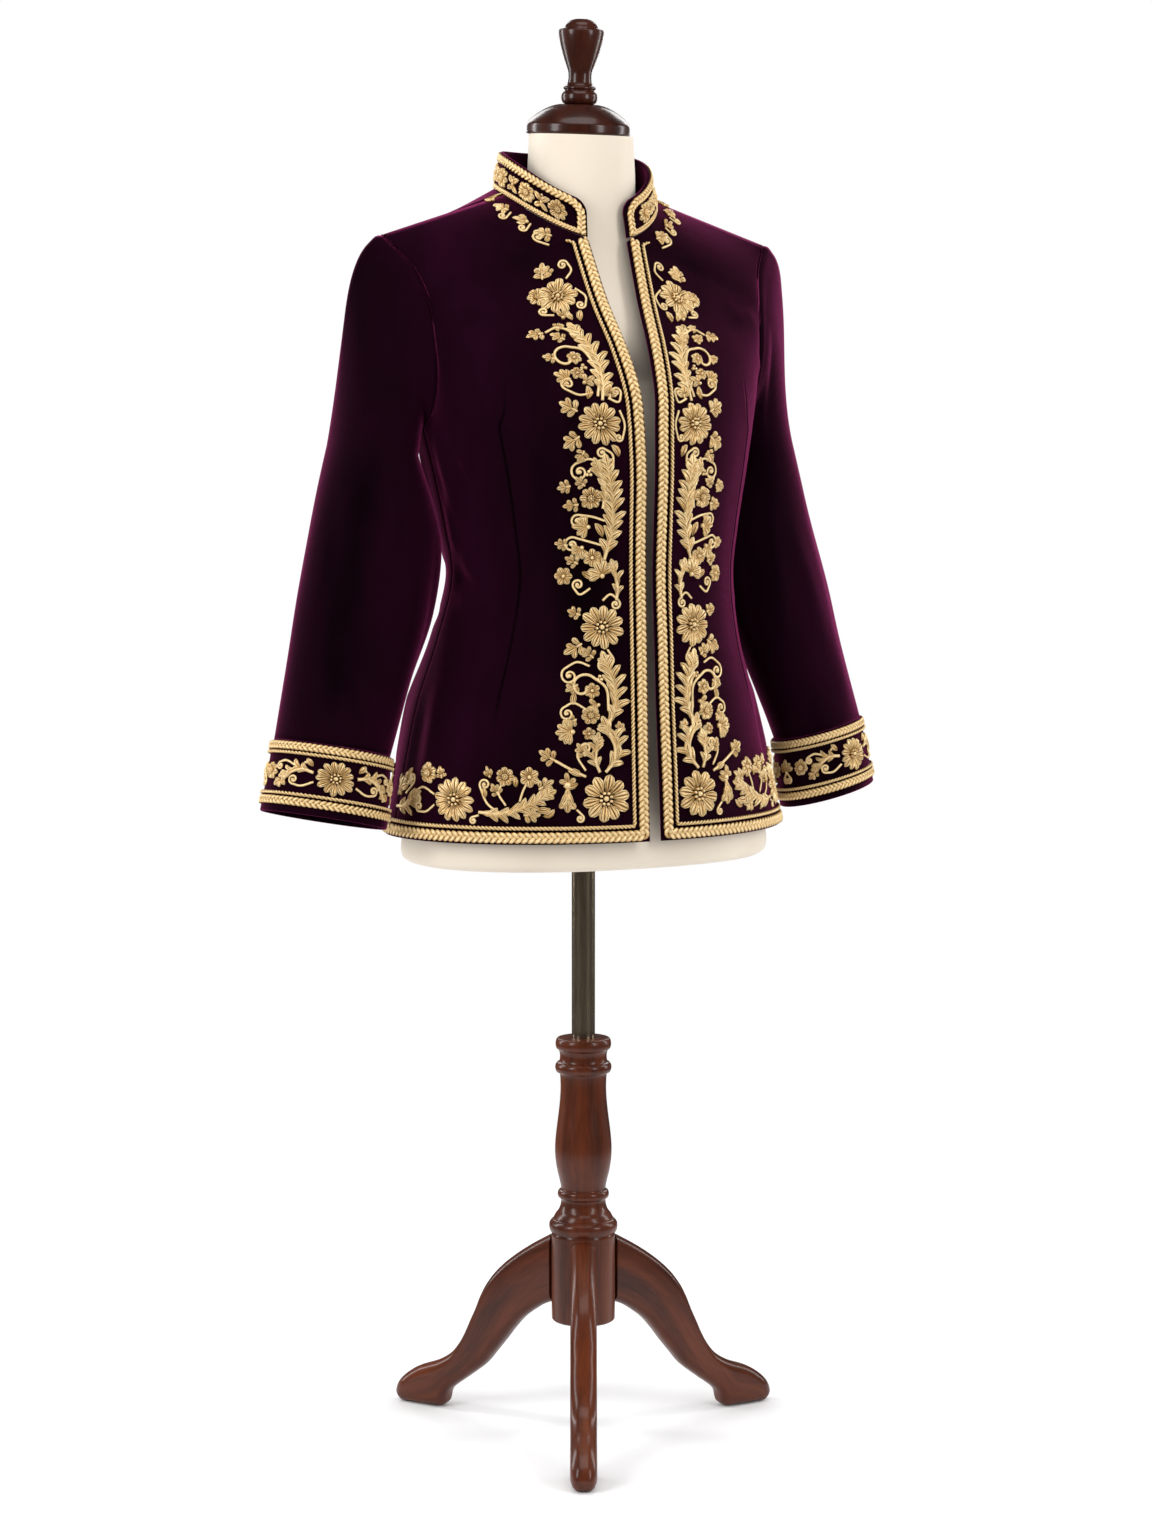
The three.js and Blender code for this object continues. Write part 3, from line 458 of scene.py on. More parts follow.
def velvet():
    """Colour from the painted sheen streaks plus a share of the pile, less the seam's painted shade; sheen in plum;
    pile as bump.
    """
    material, nodes, links, shader = new_material("aubergine velvet")
    place = nodes.new("ShaderNodeTexCoord")
    fibre = place_group(nodes, FIBRE, Fineness=PILE_FINENESS)
    links.new(place.outputs["Object"], fibre.inputs["Vector"])
    mask = maths(nodes, links, "MULTIPLY_ADD", fibre.outputs["Pile"], PILE_SHARE)
    # Painted sheen: the slow streaks lighten and darken the base colour, as the nap would catch the light.
    links.new(fibre.outputs["Brushed"], mask.node.inputs[2])
    # Painted shade: the seam attribute darkens the dart's groove and the rolled seams.
    seam = nodes.new("ShaderNodeAttribute")
    seam.attribute_name = "seam"
    mask = maths(nodes, links, "SUBTRACT", mask, seam.outputs["Fac"])
    colour = ramp(nodes, links, mask, (0.48, VELVET_DARK), (0.9, VELVET_LIGHT))
    links.new(colour, shader.inputs["Base Color"])
    set_shader(shader, Roughness=0.9, Sheen_Weight=1.0, Sheen_Roughness=0.31, Specular_IOR_Level=0.02)
    shader.inputs["Sheen Tint"].default_value = (*VELVET_SHEEN, 1)
    bump(nodes, links, shader, fibre.outputs["Pile"], 0.0006, 0.55)
    return material


VELVET = velvet()
print("velvet:", VELVET.name)

# %% [markdown]
# ## Gold thread
# The braid and the flowers are laid from antique gold thread, wound over card. Thread is half metal and
# half silk, so it is only partly metallic. Fine lines run along each petal. Its furrows are darkened with
# painted shade and its raised outline is lightened with a painted highlight, as are the low and high parts
# of cords and beads; the mesh carries that painted light as one value a point.

# %% Gold
GOLD_DARK, GOLD_MID, GOLD_LIGHT = (0.05, 0.016, 0.003), (0.71, 0.415, 0.135), (1.0, 0.81, 0.46)
LINE_SHARE, UNEVEN_SHARE, SHADE_FLOOR = 0.3, 0.5, 0.16
THREAD_PITCH = 1.5


def gold(name, pitch):
    """Antique gold thread: the value of tone and painted light times a sum of thread lines, unevenness and a floor;
    lines as bump.
    """
    material, nodes, links, shader = new_material(name)
    uv, tone = nodes.new("ShaderNodeUVMap"), nodes.new("ShaderNodeAttribute")
    uv.uv_map = "UVMap"
    tone.attribute_name = "tone"
    threads = place_group(nodes, THREADS, Pitch=pitch)
    links.new(uv.outputs["UV"], threads.inputs["Vector"])
    lines = maths(nodes, links, "MULTIPLY_ADD", threads.outputs["Thread"], LINE_SHARE)
    lines.node.inputs[2].default_value = SHADE_FLOOR
    uneven = maths(nodes, links, "MULTIPLY_ADD", threads.outputs["Uneven"], UNEVEN_SHARE)
    links.new(lines, uneven.node.inputs[2])
    mask = maths(nodes, links, "MULTIPLY", uneven, tone.outputs["Fac"])
    colour = ramp(nodes, links, mask, (0.1, GOLD_DARK), (0.33, GOLD_MID), (0.6, GOLD_LIGHT))
    links.new(colour, shader.inputs["Base Color"])
    set_shader(shader, Metallic=0.35, Roughness=0.32, Specular_IOR_Level=0.5)
    bump(nodes, links, shader, threads.outputs["Thread"], 0.00022, 0.8)
    return material


GOLD_THREAD = gold("antique gold thread", THREAD_PITCH)
print("gold:", GOLD_THREAD.name)

# %% [markdown]
# ## Jersey, wood and bronze
# The form is covered in cream jersey, pulled smooth. The stand is mahogany under a clear lacquer, redder
# on the column and legs than on the cap and finial. The pole is dark bronze, brushed along its length.

# %% Jersey, wood and bronze
JERSEY_DARK, JERSEY_LIGHT = (0.69, 0.6, 0.485), (0.78, 0.69, 0.575)
BRONZE_DARK, BRONZE_LIGHT = (0.2, 0.15, 0.1), (0.4, 0.31, 0.22)
RED_DARK, RED_LIGHT, RED_COAT = (0.034, 0.0064, 0.0018), (0.118, 0.0245, 0.0068), 0.38
BROWN_DARK, BROWN_LIGHT, BROWN_COAT = (0.015, 0.0026, 0.0011), (0.05, 0.0094, 0.0034), 0.5


def jersey():
    """Fine knit: two creams mixed by the slow noise, a weak sheen, and the fibres as bump."""
    material, nodes, links, shader = new_material("cream jersey")
    place = nodes.new("ShaderNodeTexCoord")
    fibre = place_group(nodes, FIBRE, Fineness=1100.0)
    links.new(place.outputs["Object"], fibre.inputs["Vector"])
    colour = ramp(nodes, links, fibre.outputs["Brushed"], (0.3, JERSEY_DARK), (0.7, JERSEY_LIGHT))
    links.new(colour, shader.inputs["Base Color"])
    set_shader(shader, Roughness=0.85, Sheen_Weight=0.25, Sheen_Roughness=0.5, Specular_IOR_Level=0.2)
    bump(nodes, links, shader, fibre.outputs["Pile"], 0.0004, 0.35)
    return material


def wood(name, dark, light, coat):
    """Mahogany: grain between a dark and a light red brown, fine pores as bump, under a clear coat."""
    material, nodes, links, shader = new_material(name)
    grain = place_group(nodes, GRAIN, Scale=1.0)
    pore = maths(nodes, links, "MULTIPLY_ADD", grain.outputs["Pore"], 0.3)
    links.new(grain.outputs["Grain"], pore.node.inputs[2])
    colour = ramp(nodes, links, pore, (0.45, dark), (0.85, light))
    links.new(colour, shader.inputs["Base Color"])
    set_shader(shader, Roughness=0.4, Coat_Weight=coat, Coat_Roughness=0.18, Specular_IOR_Level=0.12)
    bump(nodes, links, shader, grain.outputs["Pore"], 0.00012, 0.25)
    return material


def bronze():
    """Brushed metal: noise drawn out along the pole, for the colour and as bump."""
    material, nodes, links, shader = new_material("dark bronze")
    place, stretch = nodes.new("ShaderNodeTexCoord"), nodes.new("ShaderNodeMapping")
    stretch.inputs["Scale"].default_value = (1, 1, 0.02)
    links.new(place.outputs["Object"], stretch.inputs["Vector"])
    brushed = noise(nodes, 1800.0, 2.0)
    links.new(stretch.outputs["Vector"], brushed.inputs["Vector"])
    colour = ramp(nodes, links, brushed.outputs["Fac"], (0.3, BRONZE_DARK), (0.7, BRONZE_LIGHT))
    links.new(colour, shader.inputs["Base Color"])
    set_shader(shader, Metallic=0.95, Roughness=0.26)
    bump(nodes, links, shader, brushed.outputs["Fac"], 0.00008, 0.4)
    return material


JERSEY = jersey()
RED_WOOD = wood("red mahogany", RED_DARK, RED_LIGHT, RED_COAT)
DARK_WOOD = wood("dark mahogany", BROWN_DARK, BROWN_LIGHT, BROWN_COAT)
BRONZE = bronze()
print("finishes:", len(bpy.data.materials))

# %% [markdown]
# ## The cut of the jacket
# These are the garment's driving sizes: the half width at the side seam, the distance of the front edge
# and the centre back from the pole, and the two armhole edges. Each row of a panel is a quarter of a
# superellipse from its side edge to its middle edge.

# %% Sizes of the jacket
WALL, SEAM_GAP = 2.0, 0.4
HEM_Z, ARMPIT_Z = 634.0, 1040.0
NECK = {"side": 84.0, "depth": 74.0, "centre_y": 18.0, "back_z": 1284.0, "drop": 58.0, "power": 2.6}
NECK_FRONT_ANGLE, NECK_SHOULDER_ANGLE = 15.2, 87.0
NECK_RISE = 0.72
ROUNDER_ABOVE = 0.4

BODY = table(
    "z side side_y front back open",
    (634, 214, 0, 157, 133, 6.5),
    (700, 200, 4, 153, 134, 6),
    (765, 184, 7, 149, 131, 5),
    (830, 163, 3, 146, 116, 4.5),
    (892, 152, -9, 143, 93, 4),
    (940, 158, -7, 144, 104, 4.5),
    (995, 169, -4, 146, 115, 5),
    (1040, 179, 0, 144, 120, 6),
)
ARMHOLE_FRONT = table(
    "rise x y z",
    (0, 179, 0, 1040),
    (0.12, 177, -20, 1056),
    (0.3, 179, -35, 1088),
    (0.5, 183, -38, 1125),
    (0.7, 187, -30, 1165),
    (0.85, 196, -12, 1200),
    (1, 217, 14, 1230),
)
ARMHOLE_BACK = table(
    "rise x y z",
    (0, 179, 0, 1040),
    (0.12, 179, 22, 1056),
    (0.3, 183, 38, 1088),
    (0.5, 187, 44, 1125),
    (0.7, 191, 42, 1165),
    (0.85, 200, 32, 1200),
    (1, 217, 14, 1230),
)
FRONT_EDGE = table(
    "rise x y z",
    (0, 6, -144, 1040),
    (0.2, 8, -139, 1075),
    (0.4, 12, -117, 1120),
    (0.55, 17, -86, 1166),
    (0.72, 22, -53.4, 1227),
)
CENTRE_BACK = table(
    "rise x y z",
    (0, 0, 120, 1040),
    (0.25, 0, 122, 1100),
    (0.45, 0, 117, 1165),
    (0.6, 0, 107, 1227),
    (0.72, 0, 92, 1284),
)
FACES = {
    "front": {"sign": -1, "armhole": ARMHOLE_FRONT, "edge": FRONT_EDGE, "neck": NECK_FRONT_ANGLE},
    "back": {"sign": 1, "armhole": ARMHOLE_BACK, "edge": CENTRE_BACK, "neck": 180.0},
}


def neck_seam(degrees):
    """Ellipse seen from above, low in front and high behind; angle 0 is the centre front."""
    a = np.radians(degrees)
    low = np.abs(np.cos(a / 2)) ** (2 * NECK["power"])
    y = NECK["centre_y"] - NECK["depth"] * np.cos(a)
    return xyz(NECK["side"] * np.sin(a), y, NECK["back_z"] - NECK["drop"] * low)


def panel_point(face, level, share):
    """Point of a half panel on the +X side. level 0 to 1 climbs from the hem to the armpit, 1 to 2 on to
    the shoulder; share 0 is the side edge and 1 the middle edge. A row is middle + (side - middle) cos^n in
    x and z, and side + (middle - side) sin^n in y, for a quarter turn times share."""
    form = FACES[face]
    level, share = np.broadcast_arrays(level, share)
    gap = SEAM_GAP / 2 * form["sign"]
    z = HEM_Z + (ARMPIT_Z - HEM_Z) * np.clip(level, 0, 1)
    rise = np.clip(level - 1, 0, 1)
    opening = between(BODY, z, "open") if face == "front" else 0 * z
    low_middle = xyz(opening, form["sign"] * between(BODY, z, face), z)
    low_side = xyz(between(BODY, z, "side"), between(BODY, z, "side_y") + gap, z)
    along = np.clip((rise - NECK_RISE) / (1 - NECK_RISE), 0, 1)
    seam = neck_seam(form["neck"] + (NECK_SHOULDER_ANGLE - form["neck"]) * along)
    seam[..., 1] += gap * along
    on_edge = xyz(*(between(form["edge"], rise, k) for k in "xyz"))
    high_middle = np.where((rise < NECK_RISE)[..., None], on_edge, seam)
    high_side = xyz(*(between(form["armhole"], rise, k) for k in "xyz")) + (0, gap, 0)
    low = (level <= 1)[..., None]
    side, middle = np.where(low, low_side, high_side), np.where(low, low_middle, high_middle)
    power = np.where(level <= 1, 1, 1 + ROUNDER_ABOVE * np.minimum(rise / NECK_RISE, 1))
    c = np.clip(np.cos(share * np.pi / 2), 0, 1) ** power
    s = np.clip(np.sin(share * np.pi / 2), 0, 1) ** power
    return xyz(
        middle[..., 0] + (side[..., 0] - middle[..., 0]) * c,
        side[..., 1] + (middle[..., 1] - side[..., 1]) * s,
        middle[..., 2] + (side[..., 2] - middle[..., 2]) * c,
    )


print("front hem corner at", panel_point("front", 0.0, 1.0).round(1))

# %% [markdown]
# ## Creases and darts
# Lined velvet hangs in a few long, soft folds, drawn from the armpit and the waist. Each one is a short
# line on the cloth with a width and a depth. A dart is a sewn fold: a thin groove that runs
# up the panel, with the cloth a little proud on both sides.

# %% Creases
# from (u, v) to (u, v) in mm, u from the middle edge and v from the hem, half width, height
FRONT_FOLDS = [
    (232, 408, 196, 300, 9, 3.4),
    (214, 392, 178, 330, 7, -2.2),
    (226, 350, 206, 268, 8, 2.4),
    (206, 300, 170, 238, 10, 2.8),
    (222, 262, 168, 252, 7, -2.4),
    (218, 238, 160, 232, 9, 1.8),
    (236, 30, 214, 190, 15, 3.8),
    (196, 20, 188, 150, 13, -3.0),
    (262, 40, 246, 150, 12, -2.6),
    (168, 500, 236, 470, 12, 2.4),
    (118, 560, 176, 588, 14, 1.8),
]
BACK_FOLDS = [
    (206, 420, 172, 318, 10, 3.2),
    (184, 402, 150, 330, 8, -2.4),
    (180, 300, 118, 262, 9, 3.0),
    (168, 262, 60, 256, 8, -2.8),
    (150, 238, 40, 230, 9, 2.6),
    (196, 226, 130, 214, 8, -1.8),
    (206, 20, 186, 190, 15, 4.0),
    (158, 16, 146, 150, 14, -3.2),
    (92, 14, 96, 150, 17, 3.4),
    (40, 14, 42, 130, 15, -2.4),
    (60, 560, 150, 540, 16, 2.0),
]
DART_SHARE, DART_SPAN = {"front": 0.44, "back": 0.52}, {"front": (96, 470), "back": (70, 500)}
DART_WIDTH, DART_DEPTH, DART_EASE = 1.5, 1.1, 60
PROUD_WIDTH, PROUD_HEIGHT = 9, 0.8
ROLL_WIDTH, ROLL_DEPTH = 1.6, 0.7
SIDE_QUIET, HEM_QUIET = 14, 26
SEAM_SHADE = 0.25


def fold_height(u, v, folds):
    """Sum of soft ridges: height times a bell curve of the distance to the fold's line, fading at its ends."""
    height = np.zeros(np.shape(u))
    for u0, v0, u1, v1, width, tall in folds:
        line = np.array([u1 - u0, v1 - v0], float)
        along = ((u - u0) * line[0] + (v - v0) * line[1]) / (line @ line)
        off_u, off_v = u - u0 - along * line[0], v - v0 - along * line[1]
        fade = np.clip(1 - np.maximum(np.abs(along - 0.5) * 2 - 0.35, 0) / 0.85, 0, 1) ** 2
        height += tall * np.exp(-(off_u**2 + off_v**2) / width**2) * fade
    return height


def lengths(points):
    """Distance along the rows from each row's first point, and along the first column from its own start."""
    u = np.linalg.norm(np.diff(points, axis=1), axis=-1).cumsum(axis=1)
    v = np.linalg.norm(np.diff(points[:, 0], axis=0), axis=-1).cumsum()
    return np.pad(u, ((0, 0), (1, 0))), np.pad(v, (1, 0))[:, None]


def dressed_panel(face, level, share):
    """Half panel with its folds, dart and rolled seams: the plain cloth moved along its normals. The
    columns run from the middle edge to the side edge. Gives points, normals, u, v and the seam mask,
    which is painted shade in the dart's groove and along the rolled side seam."""
    plain = panel_point(face, level[:, None], share[None, :])
    u, v = lengths(plain)
    v = v + 0 * u
    outward = grid_normals(plain) * -FACES[face]["sign"]
    folds = FRONT_FOLDS if face == "front" else BACK_FOLDS
    height = fold_height(u, v, folds)
    to_side = u[:, -1:] - u
    dart_u = np.array([np.interp(DART_SHARE[face], share[::-1], row[::-1]) for row in u])[:, None]
    low, high = DART_SPAN[face]
    held = np.clip((v - low) / DART_EASE, 0, 1) * np.clip((high - v) / DART_EASE, 0, 1)
    groove = np.exp(-(((u - dart_u) / DART_WIDTH) ** 2)) * held
    proud = np.exp(-(((u - dart_u) / PROUD_WIDTH) ** 2)) * held
    rolled = np.exp(-to_side / ROLL_WIDTH)
    quiet = np.clip(to_side / SIDE_QUIET, 0, 1) * np.clip((v + 4) / HEM_QUIET, 0.25, 1)
    height = height * quiet + PROUD_HEIGHT * proud - DART_DEPTH * groove - ROLL_DEPTH * rolled
    points = plain + outward * height[..., None]
    normals = grid_normals(points) * -FACES[face]["sign"]
    # The seam mask is painted shade, deepest in the dart's groove and along the rolled side seam.
    return points, normals, u, v, np.maximum(groove, rolled) * SEAM_SHADE


PANEL_LEVELS = np.concatenate([np.linspace(0, 1, 88), 1 + np.linspace(0, 1, 54)[1:]])


def panel_shares(face, step):
    """Shares from the middle edge to the side edge, closer together at both edges and at the dart."""
    even = np.linspace(0, 1, step)
    near = np.array([0.004, 0.01, 0.018])
    dart = DART_SHARE[face] + np.array([-0.02, -0.012, -0.007, -0.0035, 0, 0.0035, 0.007, 0.012, 0.02])
    return np.unique(np.concatenate([even, near, 1 - near, dart]))[::-1]


print("front folds:", len(FRONT_FOLDS), "back folds:", len(BACK_FOLDS))

# %% [markdown]
# ## A measured cloth
# Braid and flowers are placed as on the cutting table: so many millimetres from the front edge and so
# many above the hem. A fine copy of each panel is resampled into even steps of both, so that any place
# on it is found with a lookup. The same call answers for whole arrays of places at once.

# %% Measured cloth


class MeasuredCloth:
    """Grid of points and normals in even steps of u (along a row) and v (along the first column)."""

    def __init__(self, points, normals, step=2.0):
        u, v = lengths(points)
        self.step = step
        even = np.arange(0, u[:, -1].max() + step, step)
        rows = np.concatenate([points, normals], axis=-1)
        spread = np.stack(
            [[np.interp(even, along, row[:, k]) for k in range(6)] for along, row in zip(u, rows)]
        )
        self.height = np.arange(0, v[-1, 0], step)
        place = np.interp(self.height, v[:, 0], np.arange(len(v)))
        low = np.clip(place.astype(int), 0, len(v) - 2)
        part = (place - low)[:, None, None]
        self.grid = (spread[low] * (1 - part) + spread[low + 1] * part).transpose(0, 2, 1)
        self.edge_z = points[:, 0, 2]
        self.edge_v = v[:, 0]

    def up(self, z):
        """Distance from the hem along the middle edge at which that edge stands at a height."""
        return np.interp(z, self.edge_z, self.edge_v)

    def at(self, u, v):
        """Points and normals at arrays of places, between the four nearest samples."""
        u, v = np.broadcast_arrays(np.abs(u), v)
        i = np.clip(v / self.step, 0, self.grid.shape[0] - 1.001)
        j = np.clip(u / self.step, 0, self.grid.shape[1] - 1.001)
        r, c = i.astype(int), j.astype(int)
        a, b = (i - r)[..., None], (j - c)[..., None]
        g = self.grid
        lower, upper = g[r, c] * (1 - b) + g[r, c + 1] * b, g[r + 1, c] * (1 - b) + g[r + 1, c + 1] * b
        mixed = lower * (1 - a) + upper * a
        return mixed[..., :3], unit(mixed[..., 3:])


def measured_panel(face):
    """The dressed panel on a finer grid than the piece itself."""
    level = np.concatenate([np.linspace(0, 1, 204), 1 + np.linspace(0, 1, 130)[1:]])
    points, normals, *_ = dressed_panel(face, level, panel_shares(face, 150))
    return MeasuredCloth(points, normals)


FRONT_CLOTH, BACK_CLOTH = measured_panel("front"), measured_panel("back")
print("front edge:", FRONT_CLOTH.edge_v[-1].round(), "mm, centre back:", BACK_CLOTH.edge_v[-1].round(), "mm")

# %% [markdown]
# ## Fronts and back
# The two fronts mirror each other, and the back is two halves joined down the middle. Each is a wall of
# cloth: outer face, lining side, and a flat strip that joins them round every edge.

# %% Fronts and back
SIDES = {"right": -1, "left": 1}
CENTRE_SEAM, CENTRE_DEPTH, CENTRE_SHADE = 700.0, 0.6, 0.2


def cloth_wall(outer, normals, wall, turn, wrap_columns=False):
    """Outer grid, inner grid one wall further in, and a middle line pushed out by turn along the rim."""
    inner = outer - wall * normals
    rows, columns = outer.shape[:2]
    number = np.arange(rows * columns).reshape(rows, columns)
    if wrap_columns:
        rims = [number[0], number[-1][::-1]]
    else:
        rims = [np.concatenate([number[0], number[1:, -1], number[-1, -2::-1], number[-2:0:-1, 0]])]
    faces = [grid_faces(rows, columns, wrap_columns=wrap_columns)]
    faces.append(faces[0][:, ::-1] + rows * columns)
    points = [outer.reshape(-1, 3), inner.reshape(-1, 3)]
    flat_outer, flat_normal = points[0], normals.reshape(-1, 3)
    start = 2 * rows * columns
    for rim in rims:
        edge = flat_outer[rim]
        tangent = unit(np.roll(edge, -1, axis=0) - np.roll(edge, 1, axis=0))
        out = unit(np.cross(tangent, flat_normal[rim]))
        points.append(edge - flat_normal[rim] * wall / 2 + out * turn)
        here = start + np.arange(len(rim))
        ahead, next_here = np.roll(rim, -1), np.roll(here, -1)
        faces.append(np.stack([rim, here, next_here, ahead], axis=-1))
        faces.append(np.stack([here, rim + rows * columns, ahead + rows * columns, next_here], axis=-1))
        start += len(rim)
    return np.concatenate(points), np.concatenate(faces)


def wall_values(values, points):
    """A value for each outer point, and zero for the inner ones and the rims."""
    flat = np.ravel(values)
    return np.concatenate([flat, np.zeros(len(points) - len(flat))])


def velvet_wall(name, side, points, normals, seam=None, turn=0.0, wrap_columns=False):
    """A wall of velvet with its finish, mirrored to the wearer's right where side is -1."""
    shell, faces = cloth_wall(points, normals, WALL, turn, wrap_columns)
    # The seam values are painted shade, carried on the outer face only.
    mask = np.zeros(len(shell)) if seam is None else wall_values(seam, shell)
    piece = point_out(add_mesh(f"{name}_velvet", shell * (side, 1, 1), faces, values={"seam": mask}))
    return finish(piece, VELVET, "dressed_form", [name])


def make_front(name, side):
    """Half front, open along its middle edge."""
    points, normals, _, _, seam = dressed_panel("front", PANEL_LEVELS, panel_shares("front", 52))
    piece = velvet_wall(f"front_{name}", side, points, normals, seam)


def make_back(name, side):
    """Half back; its middle edge rolls in a little at the centre seam, as the side edge does."""
    points, normals, u, v, seam = dressed_panel("back", PANEL_LEVELS, panel_shares("back", 46))
    points[:, 0, 0] = np.maximum(points[:, 0, 0], SEAM_GAP / 2)
    rolled = np.exp(-u / ROLL_WIDTH) * (v < CENTRE_SEAM)
    points = points - CENTRE_DEPTH * rolled[..., None] * normals
    # The rolled centre seam adds its own painted shade to the seam mask.
    piece = velvet_wall(f"back_{name}", side, points, normals, seam + CENTRE_SHADE * rolled)


for make_panel in (make_front, make_back):
    for name, side in SIDES.items():
        make_panel(name, side)

# %% [markdown]
# ## Stand collar
# The collar stands on the neck seam and leans in a little. Its two front ends are rounded.

# %% Collar
COLLAR = {"height": 37.0, "corner": 13.0, "lean": 0.2, "wall": 2.4, "gap": 0.8}
COLLAR_END = NECK_FRONT_ANGLE + 0.4
COLLAR_RADIUS = (NECK["side"] + NECK["depth"]) / 2
COLLAR_LENGTH = math.radians(360 - 2 * COLLAR_END) * COLLAR_RADIUS


def collar_frame(u, v):
    """Point and outward normal of the collar at u mm round it from its right end and v mm up from the seam."""
    u, v = np.broadcast_arrays(u, v)
    base = neck_seam(360 - COLLAR_END - np.degrees(u / COLLAR_RADIUS))
    away = unit(base - xyz(0, NECK["centre_y"], base[..., 2]))
    slope = unit(away * (-COLLAR["lean"], -COLLAR["lean"], 0) + (0, 0, 1))
    facing = unit(away + (0, 0, COLLAR["lean"]))
    return base + slope * (COLLAR["gap"] + v)[..., None], facing


def collar_top(u):
    """Height of the top edge: a quarter circle at each end, level between them."""
    end = np.clip(np.minimum(u, COLLAR_LENGTH - u), 0, COLLAR["corner"])
    return COLLAR["height"] - COLLAR["corner"] + np.sqrt(COLLAR["corner"] ** 2 - (COLLAR["corner"] - end) ** 2)


def make_collar():
    """Grid over the collar's length and height, closer together at the round ends."""
    even = np.linspace(0, COLLAR_LENGTH, 150)
    ends = COLLAR["corner"] * (1 - np.cos(np.linspace(0, np.pi / 2, 8)))
    u = np.unique(np.concatenate([even, ends, COLLAR_LENGTH - ends]))
    v = np.linspace(0, 1, 13)[:, None] * collar_top(u)
    points, normals = collar_frame(u[None, :], v)
    shell, faces = cloth_wall(points, normals, COLLAR["wall"], 0.6)
    piece = add_mesh("collar_velvet", shell, faces, values={"seam": np.zeros(len(shell))})
    finish(piece, VELVET, "dressed_form", ["collar"])


make_collar()

# %% [markdown]
# ## Sleeves and cuffs
# A sleeve starts on the armhole and ends in rings that stand square to the hanging arm. Between the
# armhole and the first ring each line of the cloth is a cubic that leaves the shoulder outwards and
# arrives along the arm. The folds sit at the bend of the elbow and below the armhole.

# %% Sleeve sizes
SLEEVE = table(
    "place x y z out in deep skew",
    (0, 211, 31, 1015, 49, 30, 54, 0.2),
    (1, 219, 26, 975, 52, 52, 52, 0.24),
    (2, 228, 21, 930, 55, 67, 50, 0.26),
    (3, 245, 15, 865, 55, 71, 49, 0.26),
    (4, 260, 10, 800, 54, 61, 48, 0.26),
    (5, 279, 1, 724.5, 53, 53, 47, 0.26),
)
CUFF = table(
    "place x y z out in deep skew",
    (0, 279, 1, 724, 54, 54, 48, 0.26),
    (1, 284, -0.5, 690, 56, 56, 49.5, 0.26),
    (2, 290, -2, 655, 58, 58, 51, 0.26),
)
RING_SLOPE = (0.22, -0.09)
# the sleeve head: mm tucked in at the armhole, pull of both ends of the cubic, ways they leave and arrive
TUCK, PULL, LEAVE, LEAVE_OUTER, ARRIVE_Y = 1.0, 0.42, (0.55, -0.4), 0.25, 0.08
# rolled head seam (height, mm down, half width, depth of the seam, its width) and mm without folds
HEAD_RIDGE = {"high": 1.3, "down": 7, "wide": 5, "deep": 0.8, "seam": 1.5}
HEAD_QUIET, CUFF_QUIET = 60, 40
CUFF_LENGTH = 69.0
# turn round the arm (degrees, 0 outside, 90 front), mm below the shoulder tip, half widths, height, slant
SLEEVE_FOLDS = [
    (118, 250, 13, 70, 3.0, 0.25),
    (150, 230, 12, 62, -2.6, 0.22),
    (84, 300, 11, 80, 2.2, -0.18),
    (200, 270, 14, 60, 2.8, 0.2),
    (40, 330, 14, 90, -1.8, 0.12),
    (330, 280, 15, 90, 2.0, -0.12),
    (286, 300, 13, 74, -2.2, 0.2),
    (240, 330, 14, 70, 2.4, -0.2),
    (62, 430, 16, 70, 1.6, 0.1),
    (140, 440, 14, 60, 1.8, -0.1),
    (310, 450, 16, 70, 1.5, 0.1),
    (20, 90, 18, 60, 1.4, 0.0),
    (96, 120, 12, 60, -1.6, 0.1),
]


def ring_point(rows, place, turn, grow=0.0):
    """Oval ring: out or in times cos of the turn across, deep times sin to the front, skewed and tilted."""
    ring = {k: between(rows, place, k) for k in ("x", "y", "z", "out", "in", "deep", "skew")}
    c = np.cos(turn)
    across = (np.where(c > 0, ring["out"], ring["in"]) + grow) * c
    deep = -(ring["deep"] + grow) * np.sin(turn) + ring["skew"] * across
    z = ring["z"] + RING_SLOPE[0] * across + RING_SLOPE[1] * deep
    return xyz(ring["x"] + across, ring["y"] + deep, z)


def armhole_loop(turn):
    """The armhole as a loop: turn 0 at the shoulder tip, half way down the front at a quarter turn."""
    share = np.asarray(turn) / np.pi
    rise = np.where(share <= 1, 1 - share, share - 1)
    front, back = (xyz(*(between(t, rise, k) for k in "xyz")) for t in (ARMHOLE_FRONT, ARMHOLE_BACK))
    return np.where((share <= 1)[..., None], front, back) - (TUCK, 0, 0)


def armhole_turns(count):
    """Even steps of the sleeve's turn, and the armhole's own turn that each of them starts from."""
    rises = np.concatenate([np.linspace(0, NECK_RISE, 6), NECK_RISE + (1 - NECK_RISE) * np.arange(1, 6) / 5])
    loop = np.concatenate([1 - rises[::-1], 1 + rises[1:]]) * np.pi
    turn = np.arange(count) / count * 2 * np.pi
    return turn, np.interp(turn, np.arange(len(loop)) / (len(loop) - 1) * 2 * np.pi, loop)


